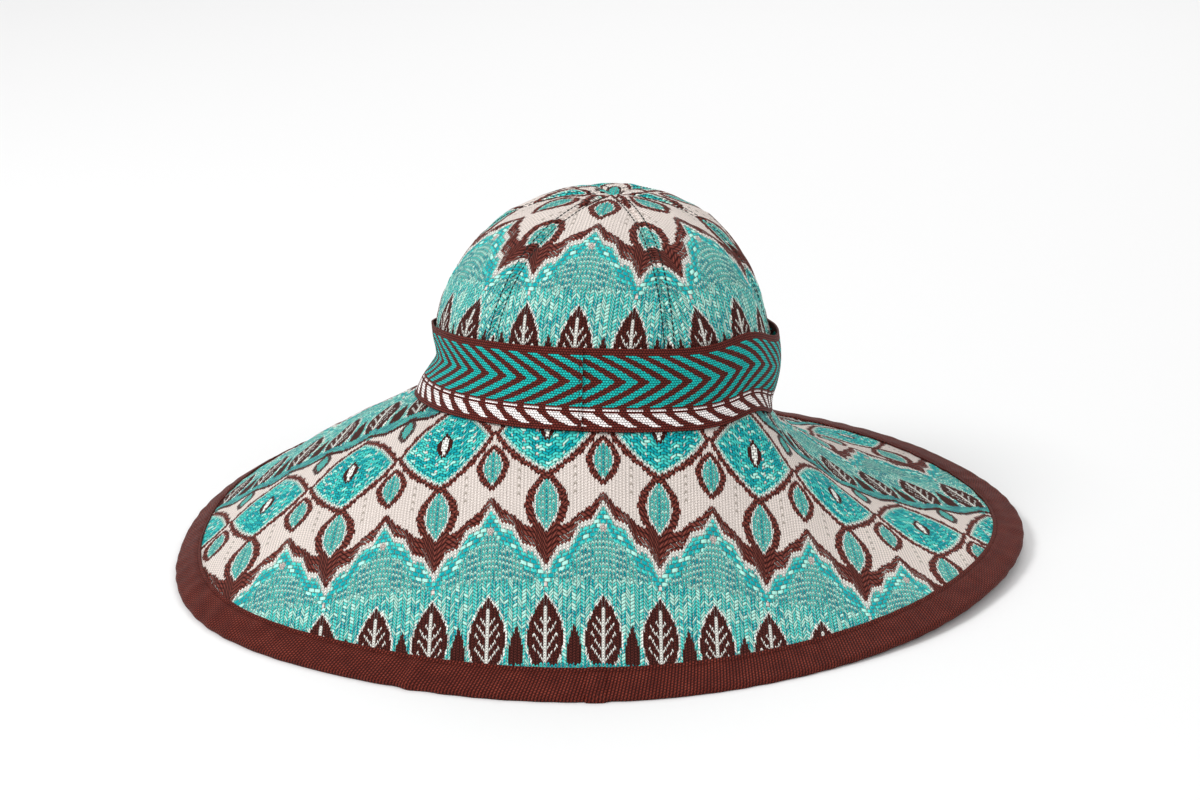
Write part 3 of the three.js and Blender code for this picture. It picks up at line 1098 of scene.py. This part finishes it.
# %% The brim's cloth
def make_brim():
    """The brim's cloth, with more sections near its seam behind."""
    turn = np.linspace(0, 1, BRIM_TURNS // 2 + 1) ** SECTIONS_CROWD * 180
    turn = np.concatenate([180 + turn, 540 - turn[-2::-1]])
    lines = brim_lines(turn % 360)
    shares = np.tile(np.linspace(0, 1, BRIM_STEPS), (len(turn), 1))
    top, length = along_line(lines, shares)
    below, _ = along_line(lines - sideways(lines) * KNIT_WALL, shares)
    slant = shares * length[:, None]
    flat = unroll(turn[:, None] - 360, slant)
    up = (top - below) / KNIT_WALL
    proud = up * brim_relief(turn[:, None] % 360, slant, length[:, None], flat)[..., None]
    face, back = (stand(turn, section + proud).transpose(1, 0, 2) for section in (top, below))
    back[..., 2] = np.maximum(back[..., 2], LEAST_HEIGHT)
    print("brim slant in mm:", np.round([length.min() / MM, length.max() / MM], 1))
    beside = np.radians(turn - 180)[None, :] * np.linalg.norm((face - MIDDLE)[..., :2], axis=-1)
    return make_cloth("brim_cloth", face, back, flat.transpose(1, 0, 2), joined=True), face, beside


brim, brim_face, brim_beside = make_brim()
cover(brim, "brim", knit_face, knit_back)
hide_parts("brim")
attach(brim, "root")

# %% [markdown]
# ## The crown
# Six pointed pieces, called gores, are sewn side by side and meet at the top. A sewn seam pulls the
# cloth into a small valley, and the rows of topstitching on both sides of it press the cloth down a
# little. Each gore is a cloth of its own here, with its own start in the pattern, because real gores
# are cut from a flat piece and their motifs don't meet at the seams.

# %% The gores
GORE_COLUMNS = 61
GORE_ROWS = 80
COLUMNS_CROWD = 1.6
ROWS_CROWD = 1.1
PATTERN_BELOW_FOOT = 18 * MM
GORE_OUTWARD = 0.03 * MM
TUCKED_IN = 2.5 * MM


def crown_section(turn, rise):
    """How far out the crown is, how high above its foot, and how far it leans, from foot to apex."""
    angle = rise * math.pi / 2
    power = 2 / around(CROWN["full"], turn)
    height = (CROWN_RISE + FOOT_HEIGHT - foot_level(turn)) * np.sin(angle) ** power
    plain = oval(CROWN_WIDTH, CROWN_DEPTH, turn) * np.maximum(0, np.cos(angle)) ** power
    return plain - drawn_in(turn, height), height, np.sin(angle) ** 2


def crown_points(turn, rise):
    """Points of the crown's face, without the dips of its seams, and how far out they are."""
    out, height, lean = crown_section(turn, rise)
    angle = np.radians(turn)
    east = out * np.sin(angle) + CROWN_LEAN * lean
    north = -out * np.cos(angle) + CROWN_LEAN_BACK * lean
    up = foot_level(turn) + GAP + height * (1 - GAP / (CROWN_RISE + FOOT_HEIGHT - foot_level(turn)))
    return np.stack([east, north, up + 0 * out], axis=-1) + MIDDLE, out


def make_gore(number):
    """One gore, from the seam at its left to the seam at its right."""
    middle = FIRST_SEAM + 360 / GORES * (number - 0.5)
    half = 180 / GORES
    spread = np.linspace(-1, 1, GORE_COLUMNS)
    turn = (middle + half * np.sign(spread) * (1 - (1 - np.abs(spread)) ** COLUMNS_CROWD))[None, :]
    rise = np.linspace(0, 1, GORE_ROWS)[:, None] ** ROWS_CROWD
    face, out = crown_points(turn, rise + 0 * turn)
    ahead = math.radians(middle)
    face = face + GORE_OUTWARD * np.array([math.sin(ahead), -math.cos(ahead), 0])
    from_seam = half - np.abs(turn - middle)
    dip = SEAM_DIP * np.cos(from_seam / half * math.pi / 2) ** SEAM_SHARPNESS
    dip = dip * np.cos(rise * math.pi / 2)
    steps = np.linalg.norm(np.diff(face, axis=0), axis=-1)
    run = np.concatenate([np.zeros((1, GORE_COLUMNS)), np.cumsum(steps, axis=0)])
    across = out * np.radians(turn - middle)
    flat = np.stack([across, run - PATTERN_BELOW_FOOT], axis=-1)
    swell = 0.5 * unevenness(across + number, run, size=30 * MM, seed=21)
    swell = swell + 0.15 * unevenness(across, run, size=11 * MM, seed=22) + motif_relief(flat)
    beside = out * np.radians(from_seam)
    relief = MM * swell * ease(0, 9 * MM, beside) * ease(0, 20 * MM, out) + seam_relief(beside) - dip
    normals = grid_normals(face)
    normals[-1] = (0, 0, 1)
    face = face + normals * (relief * ease(0, HELD_AT_FOOT, run))[..., None]
    face[-1] = face[-1, 0]
    inner = face - normals * KNIT_WALL
    inner[-1] = inner[-1, 0]
    face, inner = (np.concatenate([grid[:1] - [0, 0, TUCKED_IN], grid]) for grid in (face, inner))
    flat = np.concatenate([flat[:1] - [0, TUCKED_IN], flat])
    crown_faces.append((face[1:], beside, run))
    return make_cloth(f"crown_cloth_{number}", face, inner, flat)


crown_faces = []
gores = [make_gore(number) for number in range(1, GORES + 1)]
for number, gore in enumerate(gores, 1):
    cover(gore, f"crown_gore_{number}", knit_face, knit_back)
    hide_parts(f"crown_gore_{number}")
    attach(gore, "root")

# %% [markdown]
# ## The woven ribbon round the crown
# The ribbon is one long strip, 44 mm wide. It goes once round the crown and laps over its own start
# at the front, where its end is folded under and sewn down. A strip with two ends is made here, not a
# ring, so that the lap stands up as a real edge and the chevrons fail to meet there, as they do on the
# hat. Its lower edge turns out over the brim.

# %% The ribbon's path
LAP_FROM = -14.0
LAP_TO = -6.0
BAND_COLUMNS = 460
BAND_ROWS = 40
BAND_RADIUS = 100 * MM
# How many degrees before the ribbon's start its end begins to climb, and when it has climbed
LAP_SLOPE = (9, 1)
BEND_STEPS = 12
LOWER_CROWN = 0.8


def crown_out(turn, height):
    """How far out the crown's face is at a height above its foot."""
    rises = np.linspace(0, LOWER_CROWN, 60)[:, None]
    out, heights, lean = crown_section(turn[None, :], rises)
    angle = np.radians(turn)
    out = out + lean * (CROWN_LEAN * np.sin(angle) - CROWN_LEAN_BACK * np.cos(angle))
    columns = zip(height, heights.T, out.T)
    return np.array([np.interp(wanted, known, far) for wanted, known, far in columns])


def flare_length(turn):
    """How much of the ribbon's width lies on the brim."""
    return BAND_FLARE * around(BAND["flare"], turn)


def through(points, steps):
    """A smooth line that passes through each row of points."""
    padded = np.concatenate([points[:, :1], points, points[:, -1:]], axis=1)
    pieces = []
    for index in range(points.shape[1] - 1):
        a, b, c, d = (padded[:, index + step, None] for step in range(4))
        part = np.linspace(0, 1, steps, endpoint=False)[None, :, None]
        bend = 2 * a - 5 * b + 4 * c - d + part * (3 * (b - c) + d - a)
        pieces.append(b + 0.5 * part * (c - a + part * bend))
    return np.concatenate([*pieces, points[:, -1:]], axis=1)


def band_lines(turn):
    """The ribbon's inner face in each section, from its lower edge up to its top edge."""
    lines = brim_lines(turn)
    flare = flare_length(turn)
    shares = np.linspace(KNEE_SHARE, 1, 6)[None, :]
    height = shares * (BAND_WIDTH - flare)[:, None]
    top, crease, knee = (around(BAND[name], turn)[:, None] for name in ("top", "crease", "knee"))
    upper = crease + (top - crease) * (shares - CREASE_SHARE) / (1 - CREASE_SHARE)
    lower = knee + (crease - knee) * (shares - KNEE_SHARE) / (CREASE_SHARE - KNEE_SHARE)
    off = BAND_GAP + GAP + BAND_WIDTH * np.maximum(0, np.where(shares > CREASE_SHARE, upper, lower))
    standing = np.stack([crown_out(turn, height) + off, foot_level(turn)[:, None] + height], axis=-1)
    line_length = along_line(lines, np.zeros((len(turn), 1)))[1]
    hem, _ = along_line(lines + sideways(lines) * GAP, (flare / line_length)[:, None])
    return through(np.concatenate([hem, standing], axis=1), BEND_STEPS)


def make_band():
    """The ribbon round the crown, whose end climbs over its start."""
    turn = np.linspace(LAP_FROM, 360 + LAP_TO, BAND_COLUMNS)
    lines = band_lines(turn % 360)
    shares = np.tile(np.linspace(0, 1, BAND_ROWS), (BAND_COLUMNS, 1))
    inner, width = along_line(lines, shares)
    out = -sideways(inner)
    start, end = (360 + LAP_FROM - before for before in LAP_SLOPE)
    lap = ease(start, end, turn)[:, None] * (RIBBON_WALL + 0.1 * MM)
    along = np.radians(turn - LAP_FROM) * BAND_RADIUS
    flat = np.stack(np.broadcast_arrays(along[:, None], shares * BAND_WIDTH), axis=-1)
    swell = 0.35 * MM * unevenness(flat[..., 0], flat[..., 1], size=30 * MM, seed=31)
    inner = inner + out * (lap + np.maximum(swell, -0.3 * MM))[..., None]
    outer = inner + out * RIBBON_WALL
    face, back = (stand(turn, section).transpose(1, 0, 2) for section in (outer, inner))
    print("ribbon width in mm:", np.round([width.min() / MM, width.max() / MM], 1))
    return make_cloth("chevron_band", face, back, flat.transpose(1, 0, 2)), face


# %% [markdown]
# The chevrons are woven: slanting arms run back from a point, all pointing the same way. Under
# them run a dashed line and a border of slanting bars, between plain brown edges. Each is a rule in the
# ribbon's length and width, rounded to the threads so that the slanting edges get their fine steps.


# %% The ribbon's weave
CHEVRON_PITCH = 12.0
CHEVRON_MIDDLE = 26.3
CHEVRON_HIGH = 13.4
ARM_SLOPE = 1.45
ARM_BEND = 0.027
DASH_UP = 11.5
DASH_SHARE = 0.64
DASH_HALF = 0.5
BAR_TOP = 9.7
BAR_TALL = 7.3
THREAD_LONG = 1.5
THREAD_WIDE = 1.3
RIBBON_BUMP = 0.6 * MM


def make_ribbon_weave():
    """The woven ribbon: teal chevrons on brown, a dashed line and a border of slanting bars."""
    material, tree, shader = new_material("chevron weave")
    along, wide = flat_cloth(tree)
    row = (wide / THREAD_WIDE).floor()
    shifted = along / THREAD_LONG + row * 0.5
    thread_at = ((shifted * 2).floor() - row) * (THREAD_LONG / 2)
    thread_up = (wide * 2 / THREAD_WIDE).floor() * (THREAD_WIDE / 2)
    arm = abs(thread_up - CHEVRON_MIDDLE)
    swept = thread_at + arm * ARM_SLOPE + arm * arm * ARM_BEND
    chevron = (swept / CHEVRON_PITCH).fraction() < 0.5
    in_long = shifted.fraction() * 2 - 1.0
    in_wide = (wide / THREAD_WIDE).fraction() * 2 - 1.0
    thread = (1.0 - squared(in_long)) * (1.0 - squared(in_wide))
    # painted highlight on the middle of each brown thread
    brown = paint(tree, YARN["ribbon brown"], squared(thread) * 0.2, YARN["brown highlight and speck"])
    colour = paint(tree, brown, chevron & (arm < CHEVRON_HIGH), YARN["ribbon teal"])
    fall = (BAR_TOP - thread_up) / BAR_TALL
    bar_start = fall * 6.0 + fall * fall * 6.5
    bar_width = (fall * 4.8 - fall * fall * 7.4 + 6.1) / CHEVRON_PITCH
    in_bar = ((thread_at - bar_start) / CHEVRON_PITCH).fraction() < bar_width
    bar = in_bar & (fall > 0.0) & (fall < 1.0)
    dash = ((thread_at / CHEVRON_PITCH).fraction() < DASH_SHARE) & (abs(wide - DASH_UP) < DASH_HALF)
    colour = paint(tree, colour, bar | dash, YARN["ribbon cream"])
    pick = chance(tree, shifted.floor(), row, 7.0)
    # painted shade: the colour darkens between the threads, with random tone per thread
    tone = pick * 0.34 + ((thread * 2.5 - 0.1) & 1.25)
    relief = thread * 0.8 + fibres(tree, along, wide, LOOSE_FIBRES) * 0.2
    colour = shade(tree, colour, tone)
    finish_cloth(tree, shader, colour, relief, depth=RIBBON_BUMP, roughness=0.6, sheen=0.0)
    print("chevron weave:", len(tree.nodes), "nodes")
    return material


band, band_face = make_band()
ribbon_weave = make_ribbon_weave()
cover(band, "hat_band", ribbon_weave, ribbon_weave)
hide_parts("hat_band")
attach(band, "root")

# %% [markdown]
# ## The ribbon folded over the rim
# A plain ribbed ribbon is folded in half along its length, laid over the brim's raw edge and sewn
# through all layers, about 2 mm from its edges. The sewing presses it into the knit there, while the
# fold stays round. The section below follows it from the upper edge, round the fold, to the lower.

# %% The rim ribbon
RIM_TURNS = 700
RIM_ROWS = 15
RIM_LAP = (-2.4, 0.6)
FOLD_ROWS = 9
STITCH_FROM_EDGE = 2.2 * MM
LAP_RISE = 0.8
# Where the ribbon is pinched up and pressed down next to it, how wide in degrees, and how much
PINCHES = ((-25.5, 0.9, 0.7), (-27.5, 1.2, -0.56))
RIB_PITCH = 1.7
RIB_ROW = 1.5
# the size of the soft patches where the rim ribbon and its painted highlight are brighter
BRIGHT_PATCHES = 0.12


def rim_section(turn, clear, pressed):
    """The ribbon's section: along the upper side, round the fold and back along the lower side."""
    lines = brim_lines(turn % 360)
    length = along_line(lines, np.zeros((len(turn), 1)))[1]
    far = np.linspace(BINDING_WIDTH, 0, RIM_ROWS)
    shares = 1 - far[None, :] / length[:, None]
    normals = sideways(lines)
    above, _ = along_line(lines, shares)
    side, _ = along_line(lines - normals * KNIT_WALL, shares)
    up = (above - side) / KNIT_WALL
    from_edge = BINDING_WIDTH - far
    groove = pressed * rounded_line(from_edge - STITCH_FROM_EDGE, 1.0 * MM)[None, :, None]
    groove = groove + 0.2 * MM * np.exp(-from_edge / (1.2 * MM))[None, :, None]
    over = above + up * (clear - groove)
    under = side - up * (clear - groove)
    ahead = np.stack([up[:, -1, 1], -up[:, -1, 0]], axis=-1)
    middle = (above[:, -1] + side[:, -1]) / 2
    radius = KNIT_WALL / 2 + clear
    angles = np.radians(np.linspace(90, -90, FOLD_ROWS + 2)[1:-1])[None, :, None]
    fold = middle[:, None] + radius * (np.cos(angles) * ahead[:, None] + np.sin(angles) * up[:, -1:, :])
    return np.concatenate([over, fold, under[:, ::-1]], axis=1)


def make_rim_ribbon():
    """The folded ribbon on the rim, with its lap at the front and a pinch beside it."""
    turn = 180 + np.arange(RIM_TURNS + 1) * 360 / RIM_TURNS
    turn = np.unique(np.concatenate([turn, 360 + np.arange(RIM_LAP[0] - 0.6, RIM_LAP[1] + 0.6, 0.1)]))
    outer = rim_section(turn, clear=GAP + RIBBON_WALL, pressed=0.7 * MM)
    inner = rim_section(turn, clear=GAP, pressed=0.5 * MM)
    steps = np.linalg.norm(np.diff(outer, axis=1), axis=2)
    run = np.concatenate([np.zeros((len(turn), 1)), np.cumsum(steps, axis=1)], axis=1)
    spots = stand(turn, outer)[:, outer.shape[1] // 2]
    around_rim = np.concatenate([[0], np.cumsum(np.linalg.norm(np.diff(spots, axis=0), axis=1))])
    flat = np.stack(np.broadcast_arrays(around_rim[:, None], run), axis=-1)
    away = (turn - 360)[:, None]
    lap = ease(RIM_LAP[0], RIM_LAP[0] + 0.15, away) * (1 - ease(RIM_LAP[1] - 0.5, RIM_LAP[1], away))
    pinch = sum(height * rounded_line(away - place, width) for place, width, height in PINCHES)
    length_along = np.radians(turn)[:, None] * RIM_REACH
    ripple = 0.25 * unevenness(length_along, run * 0.3, size=12 * MM, seed=41)
    ripple = MM * (ripple * ease(0, 6, 180 - np.abs(away)) + LAP_RISE * lap + pinch)
    out = sideways(outer)
    outer = outer + out * ripple[..., None]
    inner = inner + out * np.minimum(ripple, 0.8 * MM)[..., None]
    face, back = (stand(turn, section).transpose(1, 0, 2) for section in (outer, inner))
    face[..., 2] = np.maximum(face[..., 2], 0)
    back[..., 2] = np.maximum(back[..., 2], 0.3 * MM)
    print("round the rim in mm:", round(around_rim[-1] / MM))
    return make_cloth("rim_ribbon", face, back, flat.transpose(1, 0, 2), joined=True), face


def make_rim_weave():
    """The plain ribbon: fine ribs with painted shade between them and a painted highlight on their
    crests, brighter in soft patches.
    """
    material, tree, shader = new_material("ribbed ribbon")
    along, wide = flat_cloth(tree)
    rib = ((along + wide * 0.25) / RIB_PITCH).fraction() * 2 - 1.0
    row = ((wide + (along / RIB_PITCH).floor() * 0.7) / RIB_ROW).fraction() * 2 - 1.0
    thread = (1.0 - squared(rib)) * (1.0 - squared(row) * 0.7)
    # soft patches where the ribbon is brighter and its painted highlight stronger
    bright_patches = fibres(tree, along, wide, BRIGHT_PATCHES)
    # painted shade: the colour darkens between the ribs
    tone = thread * (bright_patches * 0.8 + 0.86) + fibres(tree, along, wide, LOOSE_FIBRES) * 0.25
    # painted highlight on the crests of the ribs
    lit = squared(thread) * (bright_patches * 0.5)
    colour = shade(tree, paint(tree, YARN["rim brown"], lit, YARN["rim brown highlight"]), tone)
    finish_cloth(tree, shader, colour, thread, depth=RIBBON_BUMP, roughness=0.55, sheen=0.0)
    print("ribbed ribbon:", len(tree.nodes), "nodes")
    return material


rim_ribbon, rim_face = make_rim_ribbon()
rim_weave = make_rim_weave()
cover(rim_ribbon, "brim_binding", rim_weave, rim_weave)
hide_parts("brim_binding")
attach(rim_ribbon, "root")

# %% [markdown]
# ## The sewing
# A row of topstitching runs on each side of the crown's seams and of the brim's seam behind, and one
# row holds each edge of the rim's ribbon. A stitch is a short thread that dives into the cloth at both
# ends, so it can be one small rounded bead, repeated a few thousand times. That is work for Geometry
# Nodes: the tree takes a path, marks even points on it and lays a stitch on each, turned along the
# path and flat on the cloth. It ends by making the copies real, because only real meshes are exported.


# %% A tree that sews along a path
def link(tree, source, name, node, socket):
    tree.links.new(source.outputs[name], node.inputs[socket])


def make_sewing_tree():
    """Stitches along a path, with sizes that can be changed on the modifier."""
    tree = bpy.data.node_groups.new("sewing along a path", "GeometryNodeTree")
    for name, kind in (("Path", "Geometry"), ("Spacing", "Float"), ("Length", "Float"),
                       ("Thread width", "Float"), ("Seed", "Int"), ("Thread", "Material")):
        tree.interface.new_socket(name, in_out="INPUT", socket_type="NodeSocket" + kind)
    tree.interface.new_socket("Stitches", in_out="OUTPUT", socket_type="NodeSocketGeometry")
    enter = tree.nodes.new("NodeGroupInput")
    leave = tree.nodes.new("NodeGroupOutput")
    curve = tree.nodes.new("GeometryNodeMeshToCurve")
    marks = tree.nodes.new("GeometryNodeResampleCurve")
    marks.mode = "LENGTH"
    link(tree, enter, "Path", curve, "Mesh")
    link(tree, curve, "Curve", marks, "Curve")
    link(tree, enter, "Spacing", marks, "Length")
    bead = tree.nodes.new("GeometryNodeMeshUVSphere")
    bead.inputs["Segments"].default_value = 8
    bead.inputs["Rings"].default_value = 4
    bead.inputs["Radius"].default_value = 0.5
    size = tree.nodes.new("ShaderNodeCombineXYZ")
    for axis, name in zip("XYZ", ("Length", "Thread width", "Thread width")):
        link(tree, enter, name, size, axis)
    long_bead = tree.nodes.new("GeometryNodeTransform")
    link(tree, bead, "Mesh", long_bead, "Geometry")
    link(tree, size, "Vector", long_bead, "Scale")
    along = tree.nodes.new("GeometryNodeInputTangent")
    outward = tree.nodes.new("GeometryNodeInputNamedAttribute")
    outward.data_type = "FLOAT_VECTOR"
    outward.inputs["Name"].default_value = "outward"
    follow = tree.nodes.new("FunctionNodeAlignRotationToVector")
    follow.axis = "X"
    link(tree, along, "Tangent", follow, "Vector")
    lie = tree.nodes.new("FunctionNodeAlignRotationToVector")
    lie.axis = "Z"
    lie.pivot_axis = "X"
    link(tree, follow, "Rotation", lie, "Rotation")
    link(tree, outward, "Attribute", lie, "Vector")
    uneven = tree.nodes.new("FunctionNodeRandomValue")
    uneven.data_type = "FLOAT_VECTOR"
    uneven.inputs["Min"].default_value = (0.86, 0.9, 0.8)
    uneven.inputs["Max"].default_value = (1.04, 1.1, 1.0)
    link(tree, enter, "Seed", uneven, "Seed")
    repeat = tree.nodes.new("GeometryNodeInstanceOnPoints")
    link(tree, marks, "Curve", repeat, "Points")
    link(tree, long_bead, "Geometry", repeat, "Instance")
    link(tree, lie, "Rotation", repeat, "Rotation")
    link(tree, uneven, "Value", repeat, "Scale")
    real = tree.nodes.new("GeometryNodeRealizeInstances")
    dress = tree.nodes.new("GeometryNodeSetMaterial")
    link(tree, repeat, "Instances", real, "Geometry")
    link(tree, real, "Geometry", dress, "Geometry")
    link(tree, enter, "Thread", dress, "Material")
    link(tree, dress, "Geometry", leave, "Stitches")
    return tree


sewing_tree = make_sewing_tree()
print("sewing tree:", len(sewing_tree.nodes), "nodes")


# %% Sewing one set of rows
THREAD_ABOVE = 0.12
TWIST_SCALE = 900.0


def sew(name, rows, spacing, length, width, thread, seed):
    """Sews along rows. Each row is its points and the directions that face away from the cloth."""
    points = np.concatenate([row for row, _ in rows])
    outward = np.concatenate([way for _, way in rows])
    starts = np.cumsum([0] + [len(row) for row, _ in rows])
    spans = zip(starts[:-1], starts[1:])
    edges = [(at, at + 1) for first, after in spans for at in range(first, after - 1)]
    mesh = bpy.data.meshes.new(name)
    mesh.from_pydata((points + outward * width * THREAD_ABOVE).tolist(), edges, [])
    directions = mesh.attributes.new("outward", "FLOAT_VECTOR", "POINT")
    directions.data.foreach_set("vector", outward.reshape(-1))
    piece = bpy.data.objects.new(name, mesh)
    bpy.context.scene.collection.objects.link(piece)
    modifier = piece.modifiers.new("sewing", "NODES")
    modifier.node_group = sewing_tree
    values = {"Spacing": spacing, "Length": length, "Thread width": width,
              "Seed": seed, "Thread": thread}
    for socket in sewing_tree.interface.items_tree:
        if socket.in_out == "INPUT" and socket.name in values:
            modifier[socket.identifier] = values[socket.name]
    ready = piece.evaluated_get(bpy.context.evaluated_depsgraph_get())
    made = bpy.data.meshes.new_from_object(ready)
    piece.modifiers.clear()
    piece.data = made
    made.polygons.foreach_set("use_smooth", np.ones(len(made.polygons), bool))
    print(f"{name}: {len(made.polygons)} faces")
    return piece


def make_thread(name, colour):
    """A thin twisted thread, with its twist as fine slanting ridges."""
    material, tree, shader = new_material(name)
    place = tree.nodes.new("ShaderNodeTexCoord")
    twist = tree.nodes.new("ShaderNodeTexWave")
    twist.bands_direction = "DIAGONAL"
    twist.inputs["Scale"].default_value = TWIST_SCALE
    tree.links.new(place.outputs["Object"], twist.inputs["Vector"])
    strand = Field(tree, twist.outputs["Fac"])
    # painted shade in the grooves between the ridges of the twist
    colour = shade(tree, colour, strand * 0.4 + 0.7)
    finish_cloth(tree, shader, colour, strand, depth=0.1 * MM, roughness=0.6, sheen=0.0)
    return material


# %% The rows beside the seams
HALF_GORE = GORE_COLUMNS // 2 + 1
NEAR_SEAM = 12
ABOVE_BAND_FOOT = 14 * MM
LEAST_HALF_WIDTH = 5 * MM


def facing_out(face):
    """The unit normals of a grid that face away from a point inside the crown."""
    normals = grid_normals(face)
    inside = MIDDLE + np.array([0, 0, 20 * MM])
    return normals * np.sign(np.sum(normals * (face - inside), axis=-1, keepdims=True))


def row_at(face, beside, picked):
    """The points of a grid where the sewing beside a seam runs, in the picked rows, and directions."""
    both = np.concatenate([face, facing_out(face)], axis=-1)
    found = [[np.interp(STITCH_FROM_SEAM, beside[row], line) for line in both[row].T] for row in picked]
    points, outward = np.split(np.array(found), 2, axis=-1)
    return points, outward / np.linalg.norm(outward, axis=-1, keepdims=True)


def both_sides(face, from_left, from_right, columns, picked):
    """The sewing beside the left side of a grid, and beside its right side."""
    left = row_at(face[:, :columns], from_left[:, :columns], picked)
    right = row_at(face[:, ::-1][:, :columns], from_right[:, ::-1][:, :columns], picked)
    return [left, right]


seam_rows = []
for face, beside, run in crown_faces:
    picked = (run[:, 0] > ABOVE_BAND_FOOT) & (beside.max(axis=1) > LEAST_HALF_WIDTH)
    seam_rows += both_sides(face, beside, beside, HALF_GORE, np.flatnonzero(picked))
brim_round = 2 * math.pi * np.linalg.norm((brim_face - MIDDLE)[..., :2], axis=-1)
brim_rows = range(2, BRIM_STEPS - 6)
seam_rows += both_sides(brim_face, brim_beside, brim_round - brim_beside, NEAR_SEAM, brim_rows)
dark_thread = make_thread("dark thread", linear(40, 48, 45))
seam_sewing = sew("seam_topstitching", seam_rows, spacing=2.9 * MM, length=2.6 * MM, width=0.8 * MM,
                  thread=dark_thread, seed=3)
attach(seam_sewing, "root")


# %% The rows on the ribbons
BESIDE_LAP = 8

edge_row = round(STITCH_FROM_EDGE / (BINDING_WIDTH / (RIM_ROWS - 1)))
rim_normals = grid_normals(rim_face)
rim_normals = rim_normals * np.sign(rim_normals[edge_row, :, 2].mean())
rim_rows = [(rim_face[index], rim_normals[index]) for index in (edge_row, len(rim_face) - 1 - edge_row)]
from_front = np.abs(rim_face[0, :, 0] - MIDDLE[0]) + (rim_face[0, :, 1] > 0)
lap_column = int(np.argmin(from_front)) - BESIDE_LAP
rim_rows.append((rim_face[:RIM_ROWS, lap_column], rim_normals[:RIM_ROWS, lap_column]))
brown_thread = make_thread("brown thread", linear(78, 30, 24))
rim_sewing = sew("rim_stitching", rim_rows, spacing=2.6 * MM, length=2.3 * MM, width=0.5 * MM,
                 thread=brown_thread, seed=5)
band_normals = grid_normals(band_face)
outside = np.sign(np.sum(band_normals[20, 20] * (band_face[20, 20] - MIDDLE) * [1, 1, 0]))
end_row = (band_face[1:-1, -2], band_normals[1:-1, -2] * outside)
band_sewing = sew("ribbon_end_stitching", [end_row], spacing=2.2 * MM, length=1.9 * MM, width=0.4 * MM,
                  thread=brown_thread, seed=6)
for piece, slot in ((rim_sewing, "brown_ribbon"), (band_sewing, "chevron_ribbon")):
    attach(piece, "root")


def flat_area(piece):
    """Half of a cloth's whole surface, which is the area of one of its sides."""
    return sum(polygon.area for polygon in piece.data.polygons) / 2


for piece in (*gores, brim, band, rim_ribbon):
    print(piece.name, "area in square cm:", round(flat_area(piece) * 1e4, 1))
